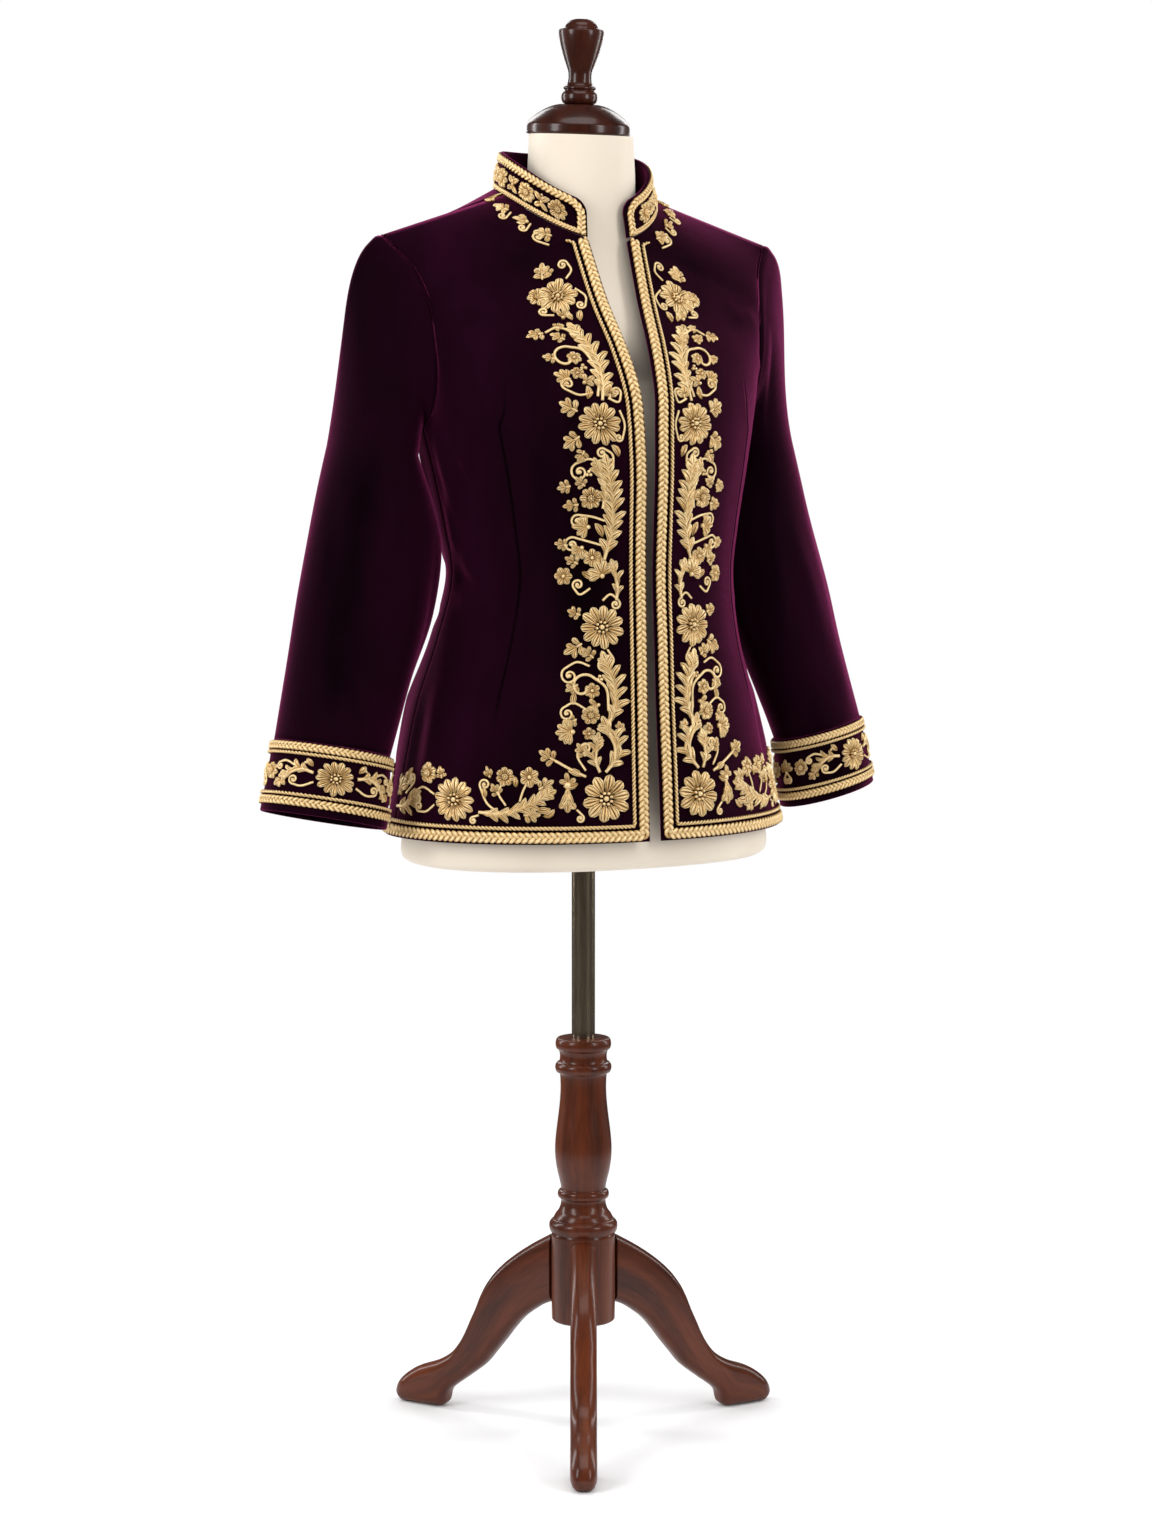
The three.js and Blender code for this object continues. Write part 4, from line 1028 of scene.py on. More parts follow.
def sleeve_points(count):
    """Rows of a sleeve from the armhole to the cuff: cubic curves for the head, then the table's rings."""
    turn, start_turn = armhole_turns(count)
    start, end = armhole_loop(start_turn), ring_point(SLEEVE, 0.0, turn)
    reach = np.linalg.norm(end - start, axis=-1, keepdims=True) * PULL
    leave = xyz(LEAVE[0], 0, LEAVE[1] + LEAVE_OUTER * np.maximum(np.cos(turn), 0)) * reach
    arrive = np.array([-RING_SLOPE[0], ARRIVE_Y, 1]) * reach
    t = np.linspace(0, 1, 40)[:-1, None, None]
    head = (1 - t) ** 3 * start + 3 * (1 - t) ** 2 * t * (start + leave)
    head = head + 3 * (1 - t) * t**2 * (end + arrive) + t**3 * end
    rings = ring_point(SLEEVE, np.linspace(0, 5, 66)[:, None], turn[None, :])
    return np.concatenate([head, rings]), turn


def sleeve_folds(turn, down):
    """Long soft ridges round the arm: bell curves in the turn and in the distance below the shoulder."""
    height = np.zeros(np.broadcast(turn, down).shape)
    for degrees, place, wide, tall, high, slant in SLEEVE_FOLDS:
        centre = math.radians(degrees) + slant * (down - place) / 100
        off = (turn - centre + np.pi) % (2 * np.pi) - np.pi
        height += high * np.exp(-((off / math.radians(wide)) ** 2) - ((down - place) / tall) ** 2)
    return height


def make_sleeve(name, side):
    """Plain sleeve moved along its normals by the folds and by the rolled seam at its head."""
    plain, turn = sleeve_points(84)
    normals = -grid_normals(plain, wrap_columns=True)
    normals *= np.sign(normals[60, 0, 0])
    down = np.linalg.norm(np.diff(plain, axis=0), axis=-1).cumsum(axis=0)
    down = np.pad(down, ((1, 0), (0, 0)))
    to_cuff = down[-1:] - down
    quiet = np.clip(down / HEAD_QUIET, 0, 1) * np.clip(to_cuff / CUFF_QUIET, 0, 1)
    ridge = HEAD_RIDGE["high"] * np.exp(-(((down - HEAD_RIDGE["down"]) / HEAD_RIDGE["wide"]) ** 2))
    ridge = ridge - HEAD_RIDGE["deep"] * np.exp(-down / HEAD_RIDGE["seam"])
    height = sleeve_folds(turn[None, :], down) * quiet + ridge * np.clip(to_cuff, 0, 1)
    points = plain + normals * height[..., None]
    facing = grid_normals(points, wrap_columns=True)
    facing *= np.sign((facing * normals).sum(axis=-1, keepdims=True))
    piece = velvet_wall(f"sleeve_{name}", side, points, facing, wrap_columns=True)


for name, side in SIDES.items():
    make_sleeve(name, side)

# %% Cuffs
CUFF_RADIUS = 52.5
CUFF_ROUND = 2 * np.pi * CUFF_RADIUS


def cuff_frame(u, v):
    """Point and normal of the +X cuff at u mm round it from its outer side and v mm down from its top."""
    u, v = np.broadcast_arrays(u, v)
    turn, place = u / CUFF_ROUND * 2 * np.pi, v / CUFF_LENGTH * 2
    low = ring_point(CUFF, place, turn)
    return low, unit(ring_point(CUFF, place, turn, 1.0) - low)


def make_cuff(name, side):
    """Closed round of the cuff's frame, its two edges turned out a little."""
    u = np.linspace(0, CUFF_ROUND, 121)[:-1]
    points, normals = cuff_frame(u[None, :], np.linspace(0, CUFF_LENGTH, 17)[:, None])
    piece = velvet_wall(f"cuff_{name}", side, points, normals, turn=0.8, wrap_columns=True)


for name, side in SIDES.items():
    make_cuff(name, side)

# %% [markdown]
# ## Raised needlework
# The gold is worked in three ways: petals and leaves are thread laid over card, stems and scrolls are
# couched cord, and the knots are beads of coiled wire. Each of them is a small closed body, drawn flat in
# millimetres and laid on the cloth by the lookup above, so it bends with the velvet below it.

# %% Sewing


class Sewing:
    """Collects closed bodies in millimetres and makes one mesh of them."""

    def __init__(self):
        self.points, self.faces, self.triangles, self.uv, self.tone, self.count = [], [], [], [], [], 0

    def add(self, points, faces, triangles, uv, tone):
        """One batch of bodies; its faces are turned over if the volume comes out negative."""
        a, b, c, d = (points[faces[:, k]] for k in range(4))
        volume = (a * (np.cross(b, c) + np.cross(c, d))).sum()
        if volume < 0:
            faces, triangles = faces[:, ::-1], triangles[:, ::-1]
        self.points.append(points)
        self.faces.append(faces + self.count)
        self.triangles.append(triangles + self.count)
        self.uv.append(uv)
        self.tone.append(tone)
        self.count += len(points)

    def piece(self, name, side=1):
        """The mesh, mirrored to the wearer's right where side is -1."""
        faces, triangles = np.concatenate(self.faces), np.concatenate(self.triangles)
        if side < 0:
            faces, triangles = faces[:, ::-1], triangles[:, ::-1]
        points = np.concatenate(self.points) * (side, 1, 1)
        tone = np.concatenate(self.tone)
        return add_mesh(name, points, faces, triangles, uv=np.concatenate(self.uv), values={"tone": tone})


def many(count, rows, columns):
    """Faces and end fans of many capped tubes, each with its rings first and its two end points last."""
    each = rows * columns + 2
    start = (np.arange(count) * each)[:, None, None]
    faces = (grid_faces(rows, columns, wrap_columns=True)[None] + start).reshape(-1, 4)
    here, ahead = np.arange(columns), (np.arange(columns) + 1) % columns
    last, low, high = (rows - 1) * columns, each - 2, each - 1
    fans = np.concatenate(
        [np.stack([0 * here + low, ahead, here], -1), np.stack([0 * here + high, last + here, last + ahead], -1)]
    )
    return faces, (fans[None] + start).reshape(-1, 3)


def lay_cord(sewing, at, u, v, radius, lift=0.0, sides=6, squash=1.0, tone=1.0, closed=False):
    """Round cord along a path on the cloth: centre at lift plus its radius, section r cos up and r sin across."""
    place, up = at(u, v)
    lift = np.broadcast_to(lift, np.shape(u))[:, None]
    centre = place + up * (lift + radius * squash * 0.7)
    if closed:
        ahead = unit(np.roll(centre, -1, axis=0) - np.roll(centre, 1, axis=0))
    else:
        ahead = unit(np.gradient(centre, axis=0))
    across = unit(np.cross(ahead, up))
    rise = np.cross(across, ahead)
    turn = (np.pi + np.arange(sides) / sides * 2 * np.pi)[None, :, None]
    rings = centre[:, None] + radius * (squash * np.cos(turn) * rise[:, None] + np.sin(turn) * across[:, None])
    reach = np.pad(np.linalg.norm(np.diff(centre, axis=0), axis=-1).cumsum(), (1, 0))
    uv = np.stack(np.broadcast_arrays((turn[:, :, 0] - np.pi) * radius + reach[:, None] * 0.9, reach[:, None]), -1)
    # Painted light: the cord is darker where it dips below the other strands, and lighter on the top of its section
    # than at its sides.
    raised = (lift - lift.min()) / max(float(np.ptp(lift)), 0.1) if np.ptp(lift) > 0.1 else 1.0 + 0 * lift
    lit = np.clip(0.28 + 0.84 * np.cos(turn[:, :, 0]), 0.05, 1.1)
    shade = tone * (0.34 + 0.66 * raised) * lit + 0 * reach[:, None]
    if closed:
        faces = grid_faces(len(u), sides, wrap_rows=True, wrap_columns=True)
        sewing.add(rings.reshape(-1, 3), faces, np.zeros((0, 3), int), uv.reshape(-1, 2), shade.ravel())
        return
    faces, triangles = many(1, len(u), sides)
    points = np.concatenate([rings.reshape(-1, 3), centre[[0, -1]]])
    uv = np.concatenate([uv.reshape(-1, 2), uv[[0, -1], 0]])
    # Its two end points get painted shade.
    sewing.add(points, faces, triangles, uv, np.append(shade.ravel(), [tone * 0.7] * 2))


# %% Petals and beads
# across the petal from edge to edge: place, height share and share of painted light (edges and furrows in
# painted shade, ridges in painted highlight); the last closes under the first
PETAL_SECTION = np.array(
    [
        (-1, -0.2, 0.1), (-1, 0.36, 0.4), (-0.86, 0.85, 1.3), (-0.66, 0.42, 0.26), (-0.4, 1, 1.15), (-0.14, 0.8, 0.6),
        (0, 0.4, 0.1), (0.14, 0.8, 0.6), (0.4, 1, 1.15), (0.66, 0.42, 0.26), (0.86, 0.85, 1.3), (1, 0.36, 0.4),
        (1, -0.2, 0.1),
    ]
)
PETAL_RINGS, BEAD_RINGS, BEAD_SIDES = 6, 3, 8
CLOTH_SKIN = 0.3


def lay_petals(sewing, at, rows, rng):
    """Padded petals from rows of (u0, v0, u1, v1, width, bend, rise, peak, blunt). The half width is
    width / 2 times sin(pi s^e)^blunt, widest at peak; the middle line is a parabola bent sideways."""
    u0, v0, u1, v1, width, bend, rise, peak, blunt = (c[:, None] for c in np.array(rows, float).T)
    s = (1 - np.cos(np.pi * (np.arange(PETAL_RINGS) + 0.35) / (PETAL_RINGS - 0.3))) / 2
    s = np.clip(s[None, :], 0.012, 0.988)
    swell = np.sin(np.pi * s ** (np.log(0.5) / np.log(peak)))
    du, dv = u1 - u0, v1 - v0
    reach = np.hypot(du, dv)
    arch = 4 * bend * s * (1 - s)
    cu, cv = u0 + du * s - dv * arch, v0 + dv * s + du * arch
    slope = 4 * bend * (1 - 2 * s)
    tu, tv = du - dv * slope, dv + du * slope
    size = np.hypot(tu, tv)
    half = width / 2 * swell**blunt
    t, tall, shade = (c[None, None, :] for c in PETAL_SECTION.T)
    u = cu[..., None] - (tv / size * half)[..., None] * t
    v = cv[..., None] + (tu / size * half)[..., None] * t
    lift = (rise * np.clip(swell, 0, 1) ** 0.45)[..., None] * tall
    place, up = at(u, v)
    rings = place + up * (CLOTH_SKIN + lift)[..., None]
    ends, ends_up = at(np.concatenate([u0, u1], 1), np.concatenate([v0, v1], 1))
    ends = ends + ends_up * CLOTH_SKIN
    count = len(rows)
    points = np.concatenate([rings.reshape(count, -1, 3), ends], axis=1)
    across = (half[..., None] * t).reshape(count, -1)
    along = (s[..., None] * reach[..., None] + 0 * t).reshape(count, -1)
    uv = np.stack([across, along], -1)
    uv = np.concatenate([uv, np.stack([0 * reach, 0 * reach], -1), np.stack([0 * reach, reach], -1)], axis=1)
    own = rng.uniform(0.86, 1.08, (count, 1))
    # Painted light: the section's painted shade and highlight, darker towards the petal's foot; own is each petal's
    # random tone.
    tone = (shade * (0.52 + 0.56 * s)[..., None] + 0 * u).reshape(count, -1) * own
    tone = np.concatenate([tone, own * 0.3, own * 0.8], axis=1)
    faces, triangles = many(count, PETAL_RINGS, len(PETAL_SECTION))
    uv[..., 0] += np.arange(count)[:, None] * 7.3
    sewing.add(points.reshape(-1, 3), faces, triangles, uv.reshape(-1, 2), tone.ravel())


def lay_beads(sewing, at, rows):
    """Domes from rows of (u, v, radius, height): rings r cos out and height sin up."""
    u0, v0, radius, tall = (c[:, None, None] for c in np.array(rows, float).T)
    lean = (np.arange(BEAD_RINGS) / BEAD_RINGS * np.pi / 2)[None, :, None]
    turn = (np.arange(BEAD_SIDES) / BEAD_SIDES * 2 * np.pi)[None, None, :]
    reach = radius * np.cos(lean)
    place, up = at(u0 + reach * np.cos(turn), v0 + reach * np.sin(turn))
    lift = tall * np.sin(lean) - 0.2 * (lean == 0)
    rings = place + up * (lift + 0 * turn)[..., None]
    middle, middle_up = at(u0[:, 0], v0[:, 0])
    ends = np.concatenate([middle - 0.2 * middle_up, middle + tall[:, 0, :, None] * middle_up], axis=1)
    count = len(rows)
    points = np.concatenate([rings.reshape(count, -1, 3), ends], axis=1)
    uv = np.stack([reach * np.cos(turn), reach * np.sin(turn)], -1).reshape(count, -1, 2)
    uv = np.concatenate([uv, np.zeros((count, 2, 2))], axis=1)
    # Painted shade and highlight: each bead is dark at its foot and lightens towards its top.
    tone = (0.25 + 0.9 * np.sin(lean) + 0 * u0 + 0 * turn).reshape(count, -1)
    tone = np.concatenate([tone, np.full((count, 1), 0.5), np.full((count, 1), 1.05)], axis=1)
    faces, triangles = many(count, BEAD_RINGS, BEAD_SIDES)
    sewing.add(points.reshape(-1, 3), faces, triangles, uv.reshape(-1, 2), tone.ravel())


print("petal faces:", PETAL_RINGS * len(PETAL_SECTION), "bead faces:", BEAD_RINGS * BEAD_SIDES)

# %% [markdown]
# ## Braid
# Every edge carries a flat plait of three gold strands, and beside it, past a line of bare velvet, a
# thin two-ply cord. In a plait each strand swings from side to side once while it rises and dips twice,
# and the three are a third of a turn apart.

# %% Braid
PLAIT_PITCH, ROPE_PITCH = 18.0, 8.0
PLAIT_STEP, ROPE_STEP = 1.15, 1.1
PLAIT_FULL, ROPE_FULL = 11.0, 4.5
CORNER_ROUND = 2.5


def route(corners, step, closed):
    """Path through flat corners, resampled every step; a running mean rounds the corners off."""
    corners = np.array(corners, float)
    count = int(path_length(corners) / step) + 1
    line = even_line(corners, count)
    if closed:
        return line[:-1]
    width = max(int(CORNER_ROUND / step), 1)
    padded = np.concatenate([2 * line[:1] - line[width:0:-1], line, 2 * line[-1:] - line[-2 : -width - 2 : -1]])
    kernel = np.ones(2 * width + 1) / (2 * width + 1)
    return np.stack([np.convolve(padded[:, k], kernel, mode="valid") for k in range(2)], axis=-1)


def swung(line, pitch, phase, closed):
    """Phase of a strand along a flat path, and the path's own sideways direction."""
    if closed:
        ahead = np.roll(line, -1, axis=0) - np.roll(line, 1, axis=0)
        wrap = np.abs(ahead[:, 0]) > 50
        ahead[wrap] = ahead[2]
        reach = np.arange(len(line)) * np.linalg.norm(line[1] - line[0])
        pitch = reach[-1] * len(line) / (len(line) - 1) / round(reach[-1] / pitch)
    else:
        ahead = np.gradient(line, axis=0)
        reach = np.pad(np.linalg.norm(np.diff(line, axis=0), axis=-1).cumsum(), (1, 0))
    side = np.stack([-ahead[:, 1], ahead[:, 0]], -1)
    side /= np.maximum(np.linalg.norm(side, axis=-1, keepdims=True), 1e-9)
    return 2 * np.pi * reach / pitch + phase, side


def lay_plait(sewing, at, corners, width, closed=False):
    """Three flat strands: sideways by sin a, up by sin 2a, a third of a turn apart."""
    line = route(corners, PLAIT_STEP, closed)
    strand = width * 0.19
    swing = width / 2 - strand * 0.9
    for k in range(3):
        angle, side = swung(line, PLAIT_PITCH * width / PLAIT_FULL, 2 * np.pi * k / 3, closed)
        path = line + side * (swing * np.sin(angle))[:, None]
        lift = CLOTH_SKIN + 0.85 * (1 + np.sin(2 * angle)) * width / PLAIT_FULL
        lay_cord(sewing, at, path[:, 0], path[:, 1], strand, lift, 6, 0.66, 1.05, closed)


def lay_rope(sewing, at, corners, width, closed=False):
    """Two round strands wound about each other: sideways by sin a, up by cos a."""
    line = route(corners, ROPE_STEP, closed)
    strand = width * 0.255
    for k in range(2):
        angle, side = swung(line, ROPE_PITCH * width / ROPE_FULL, np.pi * k, closed)
        path = line + side * (width * 0.23 * np.sin(angle))[:, None]
        lift = CLOTH_SKIN + width * 0.22 * (1 + np.cos(angle))
        lay_cord(sewing, at, path[:, 0], path[:, 1], strand, lift, 5, 0.9, 1.0, closed)


def finish_braid(sewing, name, side, nodes):
    """One piece of all the braid laid so far, on one side of the jacket."""
    return finish(sewing.piece(name, side), GOLD_THREAD, "dressed_form", nodes)


FRONT_PLAIT, FRONT_ROPE = 7.2, 17.3
HEM_PLAIT, HEM_ROPE = 6.6, 15.8
PLAIT_WIDTH, ROPE_WIDTH = 11.2, 4.6
HEM_SHORT = 0.6
neck_v = FRONT_CLOTH.up(FRONT_EDGE["z"][-1])


def hem_length(face):
    """Length of a panel's lowest row, read from the plain cut and a little short of the side seam."""
    row = panel_point(face, np.zeros((1, 1)), np.linspace(1, 0, 300)[None])
    return lengths(row)[0][0, -1] - HEM_SHORT


front_hem, back_hem = hem_length("front"), hem_length("back")
for name, side in SIDES.items():
    sewing = Sewing()
    plait = [(FRONT_PLAIT, neck_v + 3), (FRONT_PLAIT, HEM_PLAIT), (front_hem, HEM_PLAIT)]
    rope = [(FRONT_ROPE, neck_v + 10), (FRONT_ROPE, HEM_ROPE), (front_hem, HEM_ROPE)]
    lay_plait(sewing, FRONT_CLOTH.at, plait, PLAIT_WIDTH)
    lay_rope(sewing, FRONT_CLOTH.at, rope, ROPE_WIDTH)
    finish_braid(sewing, f"braid_front_{name}", side, [f"trim_front_{name}"])


def back_at(u, v):
    """The whole back as one cloth: u is measured from the centre back, positive to the wearer's left."""
    points, normals = BACK_CLOTH.at(np.abs(u), v)
    flip = np.where(np.asarray(u) < 0, -1.0, 1.0)[..., None]
    turn = np.concatenate([flip, np.ones_like(flip), np.ones_like(flip)], axis=-1)
    return points * turn, normals * turn


sewing = Sewing()
lay_plait(sewing, back_at, [(-back_hem, HEM_PLAIT), (back_hem, HEM_PLAIT)], PLAIT_WIDTH)
lay_rope(sewing, back_at, [(-back_hem, HEM_ROPE), (back_hem, HEM_ROPE)], ROPE_WIDTH)
finish_braid(sewing, "braid_hem_back", 1, ["trim_hem_back"])
print("front hem:", front_hem.round(), "mm, half back hem:", back_hem.round(), "mm")

# %% Collar and cuff braid
COLLAR_PLAIT, NECK_PLAIT, CUFF_PLAIT, CUFF_ROPE = 9.0, 5.6, 8.4, 4.0
# edge, and mm down from the cuff's top for the plait and for the cord
CUFF_BRAID = (("top", 4.9, 11.6), ("bottom", 58.6, 51.6))


def add_collar_braid():
    """A plait round both ends and the top of the collar, and a thinner one along its foot."""
    sewing = Sewing()
    top, low, end = COLLAR["height"] - 5.6, 0.8, 6.0
    round_end = [(end, low), (end, 23), (end + 4, top - 3), (end + 11, top)]
    outer = round_end + [(COLLAR_LENGTH - u, v) for u, v in round_end[::-1]]
    lay_plait(sewing, collar_frame, outer, COLLAR_PLAIT)
    finish_braid(sewing, "braid_collar", 1, ["trim_collar"])
    sewing = Sewing()
    lay_plait(sewing, collar_frame, [(2, 3.0), (COLLAR_LENGTH - 2, 3.0)], NECK_PLAIT)
    finish_braid(sewing, "braid_neck", 1, ["trim_neck"])


def add_cuff_braid(side, name):
    """Thick above thin at the top edge, thin above thick at the lower one, as closed rounds."""
    for place, thick, thin in CUFF_BRAID:
        sewing = Sewing()
        lay_plait(sewing, cuff_frame, [(0, thick), (CUFF_ROUND, thick)], CUFF_PLAIT, closed=True)
        lay_rope(sewing, cuff_frame, [(0, thin), (CUFF_ROUND, thin)], CUFF_ROPE, closed=True)
        finish_braid(sewing, f"braid_cuff_{place}_{name}", side, [f"trim_cuff_{place}_{name}"])


add_collar_braid()
for name, side in SIDES.items():
    add_cuff_braid(side, name)

# %% [markdown]
# ## Flowers, leaves and scrolls
# The border is drawn from a few motifs, each a short method of one panel's needlework. Angles are read
# on the flat cloth: 0 points away from the edge and 90 points up. A scroll is a stem that winds into a
# ring, a plume is a spine with lobes on both sides, and a rosette is one round of petals about a ring of beads.

# %% Motifs


def towards(u, v, degrees, reach):
    """The point a distance away from (u, v) in a direction."""
    a = math.radians(degrees)
    return u + reach * math.cos(a), v + reach * math.sin(a)


def heading(line, i):
    """Direction of a line from its point i to the next one, in degrees."""
    ahead = line[i + 1] - line[i]
    return math.degrees(math.atan2(ahead[1], ahead[0]))


class Needlework:
    """Petals, beads and cords of one panel, noted flat in millimetres and then laid all at once."""

    def __init__(self, at, seed):
        self.at, self.rng = at, np.random.default_rng(seed)
        self.petals, self.beads, self.cords = [], [], []

    def petal(self, u, v, angle, length, width, bend=0.0, rise=2.6, peak=0.5, blunt=0.75):
        """One petal from its foot to its tip, its direction and length varied a little by chance."""
        angle = angle + self.rng.uniform(-4, 4)
        length = length * self.rng.uniform(0.94, 1.06)
        self.petals.append((u, v, *towards(u, v, angle, length), width, bend, rise, peak, blunt))

    def bead(self, u, v, radius, tall=None):
        """One bead, a little taller than its radius."""
        self.beads.append((u, v, radius, tall or radius * 1.05 + 0.6))

    def stem(self, points, radius=1.2):
        """A cord through the points, as even steps along a smooth line."""
        self.cords.append((even_line(smooth_line(points, 10), max(int(path_length(points) / 1.5), 6)), radius))

    def scroll(self, *points, r=8.0, hand=1, turns=1.35, radius=1.25, bead=True):
        """A stem through the points that winds in on itself: r (1 - 0.8 t) about a centre at its side."""
        line = smooth_line(points, 10)
        ahead = unit(line[-1:] - line[-2:-1])[0]
        out = hand * np.array([-ahead[1], ahead[0]])
        centre = line[-1] + r * out
        start = math.atan2(-out[1], -out[0])
        t = np.linspace(0, 1, 40)[1:]
        angle, reach = start + hand * 2 * np.pi * turns * t, r * (1 - 0.8 * t)
        curl = centre + np.stack([reach * np.cos(angle), reach * np.sin(angle)], -1)
        whole = np.concatenate([line, curl])
        self.cords.append((even_line(whole, max(int(path_length(whole) / 1.4), 8)), radius))
        if bead:
            self.bead(centre[0], centre[1], max(r * 0.27, 1.4))

    def rosette(self, u, v, r, count=11):
        """Round of petals from the middle to the rim, a ring of small beads and one in the middle."""
        first = self.rng.uniform(0, 360 / count)
        for k in range(count):
            a = first + 360 * k / count
            reach = r * (0.97 + 0.05 * (k % 2))
            width = 2 * np.pi * 0.76 * r / count
            self.petal(*towards(u, v, a, 0.2 * r), a, 0.8 * reach, width, 0.0, 3.4, 0.68, 0.55)
        for k in range(8):
            self.bead(*towards(u, v, first + 360 * k / 8, 0.23 * r), max(0.075 * r, 1.0), 4.4)
        self.bead(u, v, 0.12 * r + 0.3, 5.2)

    def flowerlet(self, u, v, r, count=5, first=90.0):
        """Small flower: a few petals at even angles about one bead."""
        for k in range(count):
            a = first + 360 * k / count
            width = min(2 * np.pi * 0.7 * r / count, 0.8 * r)
            self.petal(*towards(u, v, a, 0.16 * r), a, 0.84 * r, width, 0.0, 2.8, 0.6, 0.6)
        self.bead(u, v, 0.24 * r, 3.8)

    def palmette(self, u, v, angle, length, count=5, spread=62.0, width=None):
        """Fan of petals from one foot, the middle one the longest, the others bent outwards."""
        for k in range(count):
            t = 2 * k / (count - 1) - 1
            reach = length * (1 - 0.25 * abs(t))
            self.petal(u, v, angle + t * spread, reach, width or length * 0.4, -0.12 * t, 3.0, 0.66, 0.55)
        self.bead(u, v, 0.12 * length + 0.5, 3.4)

    def bud(self, u, v, angle, length):
        """Three petals from one foot, the outer two shorter and bent."""
        for turn, part, bend in ((0, 1.0, 0.0), (26, 0.74, 0.16), (-26, 0.74, -0.16)):
            self.petal(u, v, angle + turn, length * part, length * 0.3, bend, 2.9, 0.55)
        self.bead(u, v, 0.14 * length, 3.2)

    def bell(self, u, v, angle, length):
        """Bell flower: three fat petals side by side, three tips that flare and a beaded foot."""
        mouth = towards(u, v, angle, 0.58 * length)
        for turn in (-48, 0, 48):
            self.petal(*mouth, angle + turn, length * 0.44, length * 0.26, 0.0, 2.6, 0.62, 0.55)
        for turn, bend in ((15, -0.12), (-15, 0.12), (0, 0.0)):
            self.petal(u, v, angle + turn, length * 0.78, length * 0.3, bend, 3.6, 0.66, 0.55)
        self.bead(u, v, 0.14 * length, 3.4)

    def cluster(self, u, v, r=1.7):
        """Three beads side by side in a triangle."""
        for k in range(3):
            self.bead(*towards(u, v, 90 + 120 * k, 1.15 * r), r)

    def plume(self, points, lobe, count=7, opening=27.0, hook=0.2):
        """Acanthus: long lobes that leave the spine at a narrow angle, lie over each other and hook out."""
        line = smooth_line(points, 14)
        self.stem(points, 1.7)
        for k in range(count):
            t = (k + 0.2) / count
            i = min(int(t * (len(line) - 1)), len(line) - 2)
            angle = heading(line, i)
            size = lobe * (0.85 + 0.5 * math.sin(math.pi * min(0.12 + 0.9 * t, 1.0)))
            for side in (1, -1):
                bend, rise = -hook * side, 3.0 + 0.1 * k
                self.petal(*line[i], angle + side * opening, size, lobe * 0.36, bend, rise, 0.66, 0.55)
        angle = heading(line, -2)
        for turn in (-30, 0, 30):
            size = lobe * (0.95 - 0.2 * abs(turn) / 30)
            self.petal(*line[-1], angle + turn, size, lobe * 0.36, -turn / 150, 3.2, 0.66, 0.55)

    def leaf(self, u, v, angle, length):
        """Lobed leaf: a middle petal with two pairs at its sides, and a stalk."""
        self.stem([(u, v), towards(u, v, angle, 0.3 * length)], 1.1)
        for part, turn, size in ((0.05, 66, 0.52), (0.3, 46, 0.55)):
            foot = towards(u, v, angle, part * length)
            for side in (1, -1):
                self.petal(*foot, angle + side * turn, length * size, length * 0.3, -0.1 * side, 2.8, 0.66, 0.55)
        foot = towards(u, v, angle, 0.2 * length)
        self.petal(*foot, angle, length * 0.82, length * 0.34, 0, 3.3, 0.6, 0.6)

    def sew(self, name, side, nodes):
        """Lays the petals, beads and cords on the cloth and finishes them as one piece."""
        sewing = Sewing()
        lay_petals(sewing, self.at, self.petals, self.rng)
        lay_beads(sewing, self.at, self.beads)
        for line, radius in self.cords:
            lay_cord(sewing, self.at, line[:, 0], line[:, 1], radius, 0.1, 6, 0.9)
        piece = sewing.piece(name, side)
        print(f"{name}: {len(self.petals)} petals, {len(self.beads)} beads, {len(self.cords)} cords")
        return finish(piece, GOLD_THREAD, "dressed_form", nodes)


print("motifs:", sum(callable(m) for m in vars(Needlework).values()) - 1)

# %% [markdown]
# ## Border of the fronts
# Each front has five rosettes: at the neck, the bust, the waist, the corner and along the hem. Plumes and
# scrolls lead from one to the next, with small flowers and buds on the side away from the edge. Heights
# are those of the front edge.

# %% Upper front
at_z = FRONT_CLOTH.up


